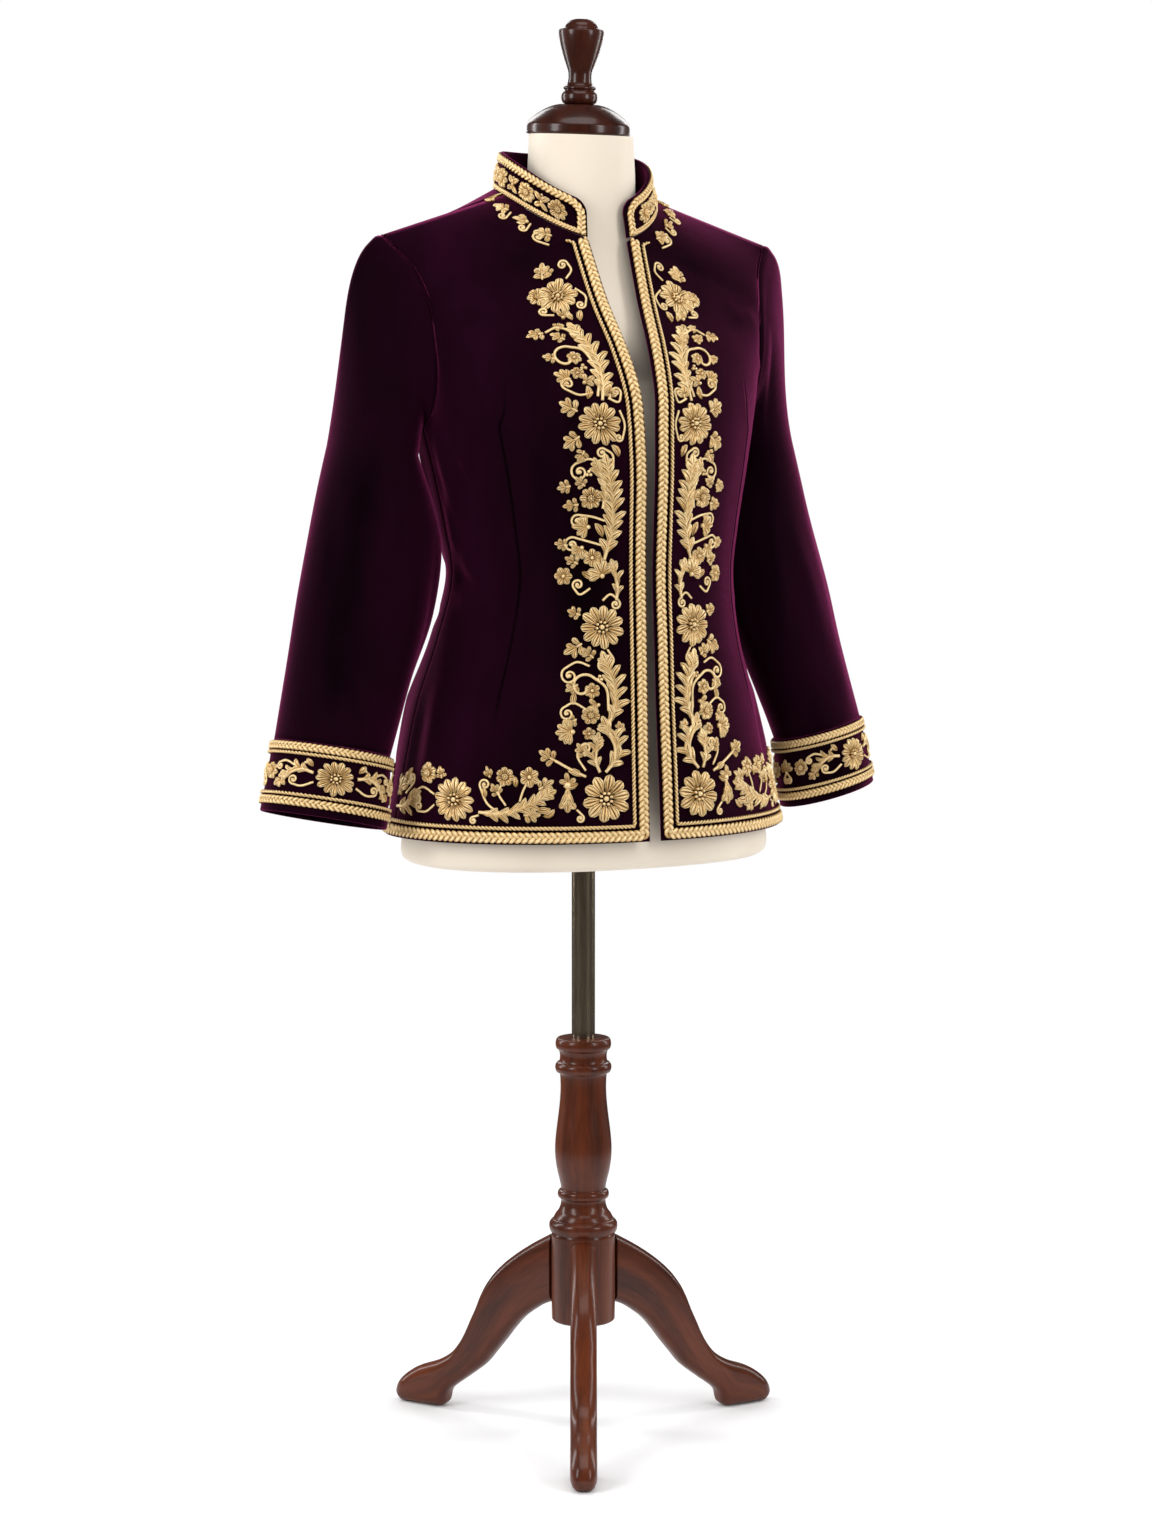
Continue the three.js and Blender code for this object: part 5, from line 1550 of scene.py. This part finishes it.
def neck_and_bust(n):
    """From the shoulder seam down to the second rosette."""
    n.rosette(50, at_z(1180), 21, 10)
    n.rosette(70, at_z(1184), 11, 7)
    n.leaf(60, at_z(1202), 100, 20)
    n.leaf(50, at_z(1204), 60, 15)
    n.scroll((36, at_z(1196)), (28, at_z(1203)), (30, at_z(1212)), r=5.5, hand=-1)
    n.scroll((30, at_z(1184)), (22, at_z(1174)), (25, at_z(1165)), r=5, hand=1)
    n.scroll((60, at_z(1160)), (70, at_z(1162)), r=5, hand=1)
    n.bud(52, at_z(1156), 112, 15)
    n.leaf(66, at_z(1146), 170, 12)
    n.stem([(42, at_z(1118)), (50, at_z(1138)), (62, at_z(1146)), (76, at_z(1142))], 1.4)
    n.leaf(78, at_z(1142), -8, 17)
    n.plume([(42, at_z(1068)), (38, at_z(1086)), (37, at_z(1110)), (44, at_z(1134))], 21, 7, 25)
    n.leaf(60, at_z(1132), 40, 15)
    n.petal(50, at_z(1130), 80, 14, 7, 0.15)
    n.petal(36, at_z(1150), 110, 14, 7, -0.1)
    n.petal(44, at_z(1152), 60, 13, 6.5, 0.1)
    n.leaf(34, at_z(1070), 100, 15)
    n.palmette(56, at_z(1086), 150, 13, 3, 50)
    n.leaf(76, at_z(1112), 20, 13)
    ring = [(46, at_z(1072)), (40, at_z(1094)), (46, at_z(1118)), (60, at_z(1124))]
    n.scroll(*ring, r=15, hand=-1, turns=0.8, radius=1.5, bead=False)
    n.flowerlet(58, at_z(1112), 7.5, 6)
    n.flowerlet(60, at_z(1096), 7, 5)
    n.cluster(52, at_z(1102), 1.9)
    n.scroll((50, at_z(1076)), (64, at_z(1074)), (76, at_z(1080)), r=7, hand=1)
    n.palmette(70, at_z(1090), 28, 15, 5, 70)
    n.petal(57, at_z(1070), 100, 15, 7, 0.15)
    n.scroll((36, at_z(1070)), (26, at_z(1066)), (22, at_z(1074)), r=5, hand=-1)
    n.leaf(68, at_z(1058), 30, 20)
    n.rosette(47, at_z(1045), 22, 12)
    n.leaf(68, at_z(1032), -32, 20)
    n.scroll((26, at_z(1058)), (22, at_z(1044)), (25, at_z(1030)), r=4, hand=1)


def beside_neck(away, along):
    """Front cloth seen from the neck seam: mm away from it and mm along it from the front edge. The
    place is the foot of seam point + away (T x N), found on the cloth by three Gauss-Newton steps."""
    away, along = np.broadcast_arrays(np.asarray(away, float), along)
    u, v = np.full(away.shape, 1.0), at_z(1227) + along
    seam, facing = FRONT_CLOTH.at(u, v)
    ahead = unit(FRONT_CLOTH.at(u, v + 2)[0] - FRONT_CLOTH.at(u, v - 2)[0])
    target = seam + away[..., None] * unit(np.cross(ahead, facing))
    for _ in range(3):
        here = FRONT_CLOTH.at(u, v)[0]
        by_u, by_v = FRONT_CLOTH.at(u + 1, v)[0] - here, FRONT_CLOTH.at(u, v + 1)[0] - here
        off = target - here
        uu, uv, vv = (by_u * by_u).sum(-1), (by_u * by_v).sum(-1), (by_v * by_v).sum(-1)
        pu, pv = (off * by_u).sum(-1), (off * by_v).sum(-1)
        size = np.maximum(uu * vv - uv**2, 0.05)
        u = np.clip(u + (pu * vv - pv * uv) / size, 0.5, 200)
        v = v + np.clip((pv * uu - pu * uv) / size, -40, 40)
    return FRONT_CLOTH.at(u, v)


def neck_border():
    """Leaves, buds and curls that follow the neck seam towards the shoulder."""
    n = Needlework(beside_neck, 29)
    n.leaf(13, 34, 70, 17)
    n.scroll((24, 32), (27, 42), r=5, hand=1)
    n.bud(13, 60, 66, 14)
    n.scroll((13, 56), (22, 55), r=4, hand=1)
    n.leaf(13, 82, 66, 15)
    n.scroll((14, 78), (23, 76), r=4, hand=1)
    n.bud(13, 104, 60, 12)
    return n


print("front edge at the bust:", at_z(1045).round(), "mm from the hem")

# %% Middle front


def bust_to_waist(n):
    """A long plume that curls over, and stems with small flowers beside it."""
    n.plume([(44, at_z(912)), (38, at_z(936)), (37, at_z(966)), (41, at_z(996))], 21, 9, 25)
    n.petal(30, at_z(1012), 60, 14, 7, 0.15)
    n.leaf(64, at_z(1018), -60, 14)
    n.leaf(78, at_z(984), -10, 14)
    n.petal(60, at_z(956), -30, 14, 7, -0.1)
    n.leaf(80, at_z(926), 10, 13)
    n.palmette(66, at_z(924), -60, 14, 5, 72)
    n.petal(48, at_z(918), -100, 14, 7, 0.12)
    n.leaf(70, at_z(908), 30, 14)
    n.scroll((36, at_z(1002)), (36, at_z(1014)), (44, at_z(1020)), r=5, hand=-1)
    n.plume([(46, at_z(962)), (44, at_z(980)), (50, at_z(998))], 15, 4)
    n.scroll((48, at_z(1000)), (58, at_z(1010)), (72, at_z(1006)), r=9, hand=-1)
    n.cluster(60, at_z(996), 1.8)
    n.rosette(58, at_z(972), 11, 8)
    n.leaf(70, at_z(966), -6, 15)
    n.leaf(64, at_z(984), 40, 13)
    n.scroll((44, at_z(950)), (56, at_z(954)), (70, at_z(956)), r=6.5, hand=-1)
    n.palmette(60, at_z(944), 0, 16, 5, 70)
    n.scroll((46, at_z(926)), (60, at_z(930)), (74, at_z(934)), r=7.5, hand=-1)
    n.flowerlet(56, at_z(914), 9, 6)
    n.petal(46, at_z(934), 60, 15, 7.5, 0.1)
    n.plume([(32, at_z(872)), (31, at_z(886)), (34, at_z(900))], 14, 3, 22)
    n.palmette(46, at_z(896), 60, 18, 5, 78)
    n.flowerlet(84, at_z(896), 9, 6, 0)
    n.petal(66, at_z(900), -150, 13, 7)
    n.scroll((58, at_z(884)), (68, at_z(878)), (74, at_z(884)), r=5.5, hand=1)
    n.scroll((46, at_z(872)), (38, at_z(878)), (30, at_z(872)), r=5, hand=1)


def waist_to_corner(n):
    """Two rings with beads, a half flower and the fan that rests on the corner rosette."""
    n.rosette(47, at_z(846), 22, 11)
    n.leaf(67, at_z(830), -30, 20)
    n.leaf(68, at_z(858), 20, 14)
    n.scroll((42, at_z(824)), (36, at_z(814)), (40, at_z(806)), r=7, hand=1)
    n.plume([(44, at_z(748)), (37, at_z(764)), (36, at_z(784)), (42, at_z(804))], 20, 6, 25)
    n.leaf(56, at_z(816), 40, 15)
    n.petal(50, at_z(806), 110, 13, 6.5, 0.1)
    n.leaf(72, at_z(790), -30, 14)
    n.petal(74, at_z(782), -80, 13, 6.5, 0.12)
    n.palmette(52, at_z(770), -20, 13, 3, 50)
    n.leaf(74, at_z(756), -20, 13)
    n.scroll((60, at_z(808)), (72, at_z(812)), (84, at_z(806)), r=8.5, hand=-1)
    n.scroll((42, at_z(764)), (44, at_z(786)), (58, at_z(798)), r=14, hand=-1, turns=0.82, radius=1.5, bead=False)
    n.flowerlet(58, at_z(784), 8, 6)
    n.cluster(50, at_z(796), 1.8)
    n.scroll((62, at_z(764)), (76, at_z(772)), (86, at_z(768)), r=7, hand=-1)
    n.rosette(60, at_z(760), 9.5, 7)
    n.palmette(78, at_z(744), 0, 18, 7, 80, 6.6)
    n.flowerlet(62, at_z(742), 6.5, 5)
    n.plume([(46, at_z(704)), (38, at_z(714)), (36, at_z(728)), (42, at_z(742))], 19, 5, 25)
    n.leaf(66, at_z(720), 60, 15)
    n.leaf(30, at_z(742), 84, 12)
    n.petal(70, at_z(700), 20, 14, 7, 0.12)
    n.petal(74, at_z(694), -10, 14, 7, -0.12)
    n.plume([(52, at_z(704)), (56, at_z(716)), (54, at_z(730))], 14, 4)
    n.scroll((66, at_z(706)), (74, at_z(720)), (70, at_z(730)), r=5, hand=1)
    n.stem([(66, at_z(700)), (82, at_z(708)), (96, at_z(716))], 1.5)
    n.leaf(96, at_z(716), 30, 18)
    n.rosette(46, at_z(678), 24, 10)


print("heights of the rosettes:", [at_z(z).round() for z in (1180, 1045, 846, 678)])

# %% Hem border


def hem_run(n, start, end, foot, hand=1):
    """Between two rosettes of the hem: a plume, two flowers on stems above it and a curl at each end."""
    reach = end - start
    out = 0 if reach > 0 else 180

    def at(share):
        """Place along the hem at a share of the way between the rosettes."""
        return start + reach * share

    n.plume([(at(0.94), foot + 27), (at(0.7), foot + 26), (at(0.44), foot + 32), (at(0.22), foot + 42)], 18, 7, 22)
    n.scroll((at(0.7), foot + 27), (at(0.84), foot + 36), (at(0.92), foot + 52), r=5.5, hand=hand)
    n.stem([(at(0.62), foot + 34), (at(0.7), foot + 46), (at(0.64), foot + 58)])
    n.rosette(at(0.62), foot + 62, 9.5, 7)
    n.stem([(at(0.46), foot + 38), (at(0.42), foot + 48), (at(0.36), foot + 58)])
    n.flowerlet(at(0.34), foot + 62, 10, 6)
    n.leaf(at(0.42), foot + 25, 180 - out, 17)
    n.bud(at(0.8), foot + 62, 70, 11)
    n.leaf(at(0.24), foot + 50, 150 if reach > 0 else 30, 17)
    n.petal(at(0.5), foot + 52, 90, 11, 5.5)
    n.petal(at(0.88), foot + 40, 90, 12, 6, 0.1)
    n.petal(at(0.28), foot + 32, 180 - out, 14, 7, 0.15)
    n.petal(at(0.2), foot + 24, 150 - out, 13, 6.5, 0.15)
    n.leaf(at(0.7), foot + 44, 60 + out / 3, 13)
    n.scroll((at(0.94), foot + 24), (at(1.02), foot + 22), r=3.5, hand=-hand)


def side_leaves(n, u, foot):
    """Leaf cluster that closes the border at the side seam."""
    n.plume([(u + 6, foot + 26), (u - 8, foot + 28), (u - 22, foot + 36)], 16, 4)
    n.palmette(u, foot + 40, 74, 20, 5, 76)
    n.leaf(u - 12, foot + 48, 100, 17)
    n.scroll((u - 10, foot + 40), (u - 22, foot + 50), r=6, hand=-1)


HEM_FOOT = 4.0


def front_border():
    """The border of one half front, from the neck down, round the corner and along to the side seam."""
    n = Needlework(FRONT_CLOTH.at, 11)
    neck_and_bust(n)
    bust_to_waist(n)
    waist_to_corner(n)
    n.bell(84, 58, -88, 26)
    n.palmette(84, 58, 88, 13, 3, 60)
    n.scroll((76, 34), (70, 28), r=4, hand=1)
    hem_run(n, 92, 178, HEM_FOOT)
    n.rosette(200, 42, 22, 13)
    n.scroll((222, 46), (236, 52), (248, 48), r=7.5, hand=-1)
    n.rosette(230, 66, 10, 7)
    n.scroll((222, 36), (232, 29), (242, 28), r=5, hand=1)
    n.leaf(214, 62, 80, 12)
    side_leaves(n, 276, HEM_FOOT)
    return n


FLOWERS = ("neck", "bust", "waist", "corner", "hem")
for name, side in SIDES.items():
    front_border().sew(f"embroidery_front_{name}", side, [f"flower_front_{k}_{name}" for k in FLOWERS])
    neck_border().sew(f"embroidery_neck_{name}", side, [])

# %% [markdown]
# ## Back, cuffs and collar
# The hem border goes on round the back past three more rosettes. Each cuff has a band between its two
# pairs of braid, with a large daisy on the front and on the back of the arm. The collar has a row of
# small flowers with petals and beads between them.

# %% Back hem border


def back_border():
    """Three rosettes, and runs between them that are mirrored about the middle of the back."""
    n = Needlework(back_at, 23)
    for u in (-120, 0, 120):
        n.rosette(u, 42, 22, 13)
    for side in (-1, 1):
        hem_run(n, side * 22, side * 98, HEM_FOOT, side)
        hem_run(n, side * 142, side * 206, HEM_FOOT, side)
        n.palmette(side * 216, 38, 90 - side * 30, 20, 5, 76)
        n.leaf(side * 212, 50, 90, 17)
    return n


back_border().sew("embroidery_back", 1, [f"flower_back_{k}" for k in ("middle", "left", "right")])

# %% Cuff bands
CUFF_DAISY = {"front": 78.0, "back": 262.0}
BAND_MIDDLE = 32.0


def cuff_down(u, v):
    """The cuff with v counted up from the middle of its band."""
    return cuff_frame(u, BAND_MIDDLE - np.asarray(v))


def cuff_band():
    """Two daisies with the same motifs to both sides of each, and a fan half way between them."""
    n = Needlework(cuff_down, 37)
    for degrees in CUFF_DAISY.values():
        u = degrees / 360 * CUFF_ROUND
        n.rosette(u, 0, 17, 13)
        for side in (-1, 1):
            out = 0 if side > 0 else 180
            n.plume([(u + side * 19, 3), (u + side * 30, 5), (u + side * 42, 0)], 12, 4, 25)
            n.scroll((u + side * 18, -6), (u + side * 28, -11), (u + side * 37, -10), r=4.5, hand=side)
            n.scroll((u + side * 36, 8), (u + side * 46, 12), (u + side * 54, 10), r=3.8, hand=-side)
            n.leaf(u + side * 46, -5, out - side * 38, 13)
            n.rosette(u + side * 64, 1, 8.5, 7)
            n.petal(u + side * 20, 9, 90 - side * 40, 10, 5.5)
            n.bead(u + side * 27, 12, 1.6)
    for degrees in (170, 352):
        u = degrees / 360 * CUFF_ROUND
        n.palmette(u, -2, 90, 13, 5, 72)
        n.scroll((u, -2), (u + 5, -8), r=3.6, hand=-1)
        n.scroll((u, -2), (u - 5, -8), r=3.6, hand=1)
    return n


for name, side in SIDES.items():
    cuff_band().sew(f"embroidery_cuff_{name}", side, [f"flower_cuff_{k}_{name}" for k in CUFF_DAISY])

# %% Collar flowers
COLLAR_FLOWERS = {"right": -118.0, "half_right": -62.0, "back": 0.0, "half_left": 62.0, "left": 118.0}


def collar_row():
    """Small rosettes by their angles about the neck, with petals and beads half way between."""
    n = Needlework(collar_frame, 41)
    middle, places = COLLAR_LENGTH / 2, np.array([-143, -118, -90, -62, -31, 0, 31, 62, 90, 118, 143])
    places = middle + np.radians(places) * COLLAR_RADIUS
    for u in places:
        n.rosette(u, 15.5, 9.8, 8)
    for u in (places[1:] + places[:-1]) / 2:
        for side in (-1, 1):
            n.petal(u, 15, 90 - side * 50, 11, 5.6, 0.1 * side)
            n.petal(u, 15, -90 + side * 50, 10, 5.2, -0.1 * side)
        n.bead(u, 15, 1.6)
        n.bead(u, 22, 1.4)
    return n


collar_row().sew("embroidery_collar", 1, [f"flower_collar_{k}" for k in COLLAR_FLOWERS])

# %% [markdown]
# ## Dress form
# A padded form is bought ready made: a smooth torso from a mould with cream jersey pulled over it. It is
# a stack of superellipse rings through a short table, rounded over at its flat bottom. The jacket hangs
# from the bust, so behind the opening of the fronts the form stands a little further back.

# %% Dress form
FORM = table(
    "z half front back",
    (604, 187, 133, 111),
    (608, 193, 139, 116),
    (620, 195, 141, 118),
    (700, 184, 133, 115),
    (765, 164, 124, 108),
    (830, 144, 116, 94),
    (892, 133, 111, 76),
    (940, 140, 118, 86),
    (995, 151, 126, 98),
    (1040, 158, 124, 103),
    (1100, 162, 104, 104),
    (1150, 162, 76, 98),
    (1190, 150, 54, 88),
    (1213, 128, 45, 80),
    (1232, 92, 42, 75),
    (1248, 66, 41, 71),
    (1266, 56, 41, 68),
    (1290, 55, 41, 65.5),
    (1335, 52.5, 40.5, 64.5),
)
FORM_SQUARE = 0.12
FORM_LOW, FORM_HIGH, FORM_RIM = 604.0, 1335.0, 16.0
# the fronts hang from the bust, so the form lies this far behind their opening: mm, half width, z range
FORM_BEHIND = {"deep": 26.0, "wide": 66.0, "low": 645.0, "high": 1150.0, "ease": 60.0}
NECK_TOP = {"y": 12.0, "z": 1335.5, "tilt": 4.0}


def form_rings(z, turn):
    """Superellipse rings: half times |sin|^n across, front or back times |cos|^n, n under 1 on the torso.
    The front is set back by a bell curve across, eased in and out up the opening."""
    half, front, back = (between(FORM, z, k)[:, None] for k in ("half", "front", "back"))
    power = 1 - FORM_SQUARE * np.clip((half - 70) / 60, 0, 1)
    s, c = np.sin(turn)[None, :], np.cos(turn)[None, :]
    x = half * np.sign(s) * np.abs(s) ** power
    y = np.where(c > 0, back, front) * np.sign(c) * np.abs(c) ** power
    low, high = (z - FORM_BEHIND["low"]) / FORM_BEHIND["ease"], (FORM_BEHIND["high"] - z) / FORM_BEHIND["ease"]
    share = (np.clip(low, 0, 1) * np.clip(high, 0, 1))[:, None] ** 2
    y += (c < 0) * FORM_BEHIND["deep"] * share * np.exp(-((x / FORM_BEHIND["wide"]) ** 2))
    tilt = np.clip((z[:, None] - 1290) / 45, 0, 1) * np.tan(math.radians(NECK_TOP["tilt"]))
    return xyz(x, y, z[:, None] + (y - NECK_TOP["y"]) * tilt)


def capped(rings, low, high):
    """Closed body from rings of points with a fan at each end: points, faces and triangles."""
    rows, columns = rings.shape[:2]
    points = np.concatenate([rings.reshape(-1, 3), [low, high]])
    here, ahead = np.arange(columns), (np.arange(columns) + 1) % columns
    last, end = (rows - 1) * columns, rows * columns
    triangles = np.concatenate(
        [
            np.stack([np.full(columns, end), ahead, here], axis=-1),
            np.stack([np.full(columns, end + 1), last + here, last + ahead], axis=-1),
        ]
    )
    return points, grid_faces(rows, columns, wrap_columns=True), triangles


def make_form():
    """Rings closer together where the rim and the neck curve most, closed at both ends."""
    rim = FORM_LOW + FORM_RIM * np.linspace(0, 1, 9) ** 2
    z = np.concatenate([rim, np.arange(626, 1190, 8), np.arange(1190, 1335.5, 4), [FORM_HIGH]])
    turn = np.arange(112) / 112 * 2 * np.pi
    rings = form_rings(z, turn)
    points, faces, triangles = capped(rings, (0, 0, FORM_LOW), (0, NECK_TOP["y"], FORM_HIGH))
    piece = point_out(add_mesh("dress_form_jersey", points, faces, triangles))
    finish(piece, JERSEY, "dressed_form", ["dress_form"])


make_form()

# %% [markdown]
# ## Turned wood
# Cap, finial, column and hub are turned on a lathe: a profile of radius and height, carried round an
# axis. The profile is a smooth line through a few measured points, with close pairs where an edge is
# crisp. The cap and finial sit square on the tilted neck.

# %% Turned wood
CAP_PROFILE = [
    (51.5, 0), (52.8, 0.8), (53.2, 2.5), (53.2, 7.5), (52.6, 10), (50.5, 12.6), (46, 17), (38, 23), (30, 27.2),
    (24, 29.2), (20, 30),
]
FINIAL_PROFILE = [
    (13, 30.3), (16, 31), (18.2, 34), (18.7, 37.2), (18, 40.8), (15.8, 43.6), (15.4, 44.6), (16.6, 45.8), (16.4, 47.4),
    (14.2, 48.6), (12.6, 51.5), (11.9, 56), (12.2, 62), (14.6, 69), (18.2, 79), (21.3, 90), (22.9, 98), (23.2, 102),
    (22.4, 104.2), (18.4, 105), (17.2, 106.4), (15.6, 109.8), (11.5, 113), (6, 114.7),
]
COLUMN_PROFILE = [
    (33.2, 209), (34.6, 211), (35.5, 215), (34.9, 219.6), (32.4, 222.6), (31, 223.4), (30.6, 225), (28.6, 228.6),
    (25.6, 232.6), (23.6, 238), (23.2, 243), (24, 245), (26, 246.4), (26.6, 249.6), (25.8, 252.8), (23.6, 254.2),
    (23.2, 256.5), (24.6, 264), (27.2, 275), (29, 288), (29.3, 300), (28.2, 314), (26.2, 330), (24.4, 346),
    (23.6, 360), (23.9, 372), (24.8, 376.6), (27.6, 377.8), (29, 381.4), (28.8, 385), (27, 387.6), (25, 388.8),
    (24.2, 392.6), (24.4, 397), (25.6, 400.6), (27.8, 402.6), (28.7, 406.2), (28.4, 410), (27, 412.8), (24.5, 413.5),
]
HUB_PROFILE = [(27, 115), (30.6, 115.6), (32.4, 117.6), (33, 121), (33, 150), (33, 200), (32.9, 206), (32.2, 208.7)]
HUB_WELL = 140.0
POLE = {"radius": 12.0, "bottom": 265.0, "middle": 434.0, "top": 603.7, "bore": 12.7}


def turned(name, profile, segments=80, bore=None, place=None, steps=4, well=None):
    """Profile carried round the Z axis: r cos, r sin, z. A bore closes the profile on itself, unless it
    ends in a well at a height of its own."""
    line = smooth_line(profile, steps)
    if bore:
        line = np.vstack([line, (bore, line[-1, 1]), (bore, line[0, 1] if well is None else well)])
    turn = np.arange(segments) / segments * 2 * np.pi
    rings = xyz(line[:, :1] * np.cos(turn), line[:, :1] * np.sin(turn), line[:, 1:])
    if place is not None:
        rings = place(rings)
    if bore and well is None:
        points, triangles = rings.reshape(-1, 3), None
        faces = grid_faces(*rings.shape[:2], wrap_rows=True, wrap_columns=True)
    else:
        points, faces, triangles = capped(rings, rings[0].mean(axis=0), rings[-1].mean(axis=0))
    run = points[:, [2, 0, 1]] * MM
    piece = point_out(add_mesh(name, points, faces, triangles, values={"run": run}))
    piece.data.set_sharp_from_angle(angle=math.radians(50))
    return piece


def on_neck(points):
    """Turned about X by the neck's tilt and set on top of the neck."""
    tilt = math.radians(NECK_TOP["tilt"])
    y, z = points[..., 1], points[..., 2]
    return xyz(
        points[..., 0],
        NECK_TOP["y"] + y * math.cos(tilt) - z * math.sin(tilt),
        NECK_TOP["z"] + y * math.sin(tilt) + z * math.cos(tilt),
    )


finish(turned("neck_cap_turned", CAP_PROFILE, 96, place=on_neck), DARK_WOOD, "dressed_form", ["neck_cap"])
finish(turned("finial_turned", FINIAL_PROFILE, 80, place=on_neck), DARK_WOOD, "dressed_form", ["finial"])
finish(turned("column_turned", COLUMN_PROFILE, 96, POLE["bore"]), RED_WOOD, "stand", ["column"])
finish(turned("hub_turned", HUB_PROFILE, 80, POLE["bore"], well=HUB_WELL), RED_WOOD, "stand", ["hub"])
pole_profile = [(POLE["radius"], POLE[k]) for k in ("bottom", "middle", "top")]
finish(turned("pole_tube", pole_profile, 64, steps=2), BRONZE, "pole", ["pole"])

# %% [markdown]
# ## Legs
# Each leg is sawn from a board and its edges are rounded over. Its upper and its lower outline run side
# by side from the hub to the foot, so a leg is a row of rounded rectangles between the two lines.

# %% Legs
LEG_TOP = [
    (33.5, 205), (61, 189), (84, 173), (101, 158), (113, 143.5), (121, 129.5), (127, 115.5), (133.5, 102), (140, 88),
    (148, 74), (160, 60), (178, 49), (203, 39), (222, 25), (229, 12), (224, 2),
]
LEG_UNDER = [
    (33.5, 132), (49, 125), (70, 110), (84, 95), (95, 81), (107, 66.5), (120, 51.5), (140, 36), (162, 19), (167, 4.5),
]
LEG_SOLE = [(172, 0.2), (190, 0), (206, 0), (220, 0.4)]
LEG = {"width": 27.0, "round": 11.0, "front_angle": -117.0, "toe": 0.9}


def make_leg(name, degrees):
    """Rounded rectangles between the two outlines, narrowed at the toe and turned about the pole."""
    sections = 90
    top = even_line(smooth_line(LEG_TOP, 12), sections)
    under = even_line(np.vstack([smooth_line(LEG_UNDER, 12), LEG_SOLE]), sections)
    middle, half = (top + under) / 2, np.linalg.norm(top - under, axis=-1) / 2
    up = (top - under) / (2 * half[:, None])
    corner = np.minimum(LEG["round"], half * 0.9)[:, None]
    turn = (np.arange(32) + 0.5) / 32 * 2 * np.pi
    c, s = np.cos(turn)[None, :], np.sin(turn)[None, :]
    toe = np.clip((np.linspace(0, 1, sections) - LEG["toe"]) / (1 - LEG["toe"]), 0, 1)[:, None]
    across = (np.sign(c) * (LEG["width"] / 2 - corner) + corner * c) * np.sqrt(1 - 0.7 * toe**2)
    high = np.sign(s) * (half[:, None] - corner) + corner * s
    radius = middle[:, :1] + up[:, :1] * high
    z = np.maximum(middle[:, 1:] + up[:, 1:] * high, 0)
    cos, sin = math.cos(math.radians(degrees)), math.sin(math.radians(degrees))
    rings = xyz(radius * cos - across * sin, radius * sin + across * cos, z)
    points, faces, triangles = capped(rings, rings[0].mean(axis=0), rings[-1].mean(axis=0))
    along = np.linspace(0, 320, sections)[:, None] + 0 * across
    run = np.concatenate([xyz(along, across + 50 * degrees, high).reshape(-1, 3), [(0, 0, 0), (320, 0, 0)]]) * MM
    piece = point_out(add_mesh(f"{name}_sawn", points, faces, triangles, values={"run": run}))
    piece.data.set_sharp_from_angle(angle=math.radians(50))
    return finish(piece, RED_WOOD, "stand", [name])


for step, name in enumerate(("leg_front", "leg_left", "leg_right")):
    make_leg(name, LEG["front_angle"] + 120 * step)

# %% [markdown]
# ## Floor
# The floor is white and fades into the white room a few steps away, so no line shows behind the stand.

# %% Floor


def make_floor():
    """Disc of rings; its material turns clear with the distance from the pole."""
    radius = np.array([0.001, 0.3, 0.6, 1, 1.5, 2.2, 3.2]) * 1000
    turn = np.arange(64) / 64 * 2 * np.pi
    rings = xyz(radius[:, None] * np.cos(turn), radius[:, None] * np.sin(turn), -0.5)
    floor = add_mesh("floor", rings, grid_faces(len(radius), 64, wrap_columns=True))
    material, nodes, links, shader = new_material("white floor")
    shader.inputs["Base Color"].default_value = (0.835, 0.835, 0.84, 1)
    set_shader(shader, Roughness=0.7, Specular_IOR_Level=0.2)
    place, length = nodes.new("ShaderNodeTexCoord"), nodes.new("ShaderNodeVectorMath")
    length.operation = "LENGTH"
    links.new(place.outputs["Object"], length.inputs[0])
    fade = nodes.new("ShaderNodeMapRange")
    fade.interpolation_type = "SMOOTHSTEP"
    for label, value in (("From Min", 0.5), ("From Max", 1.7), ("To Min", 1.0), ("To Max", 0.0)):
        fade.inputs[label].default_value = value
    links.new(length.outputs["Value"], fade.inputs["Value"])
    links.new(fade.outputs["Result"], shader.inputs["Alpha"])
    floor.data.materials.append(material)


make_floor()
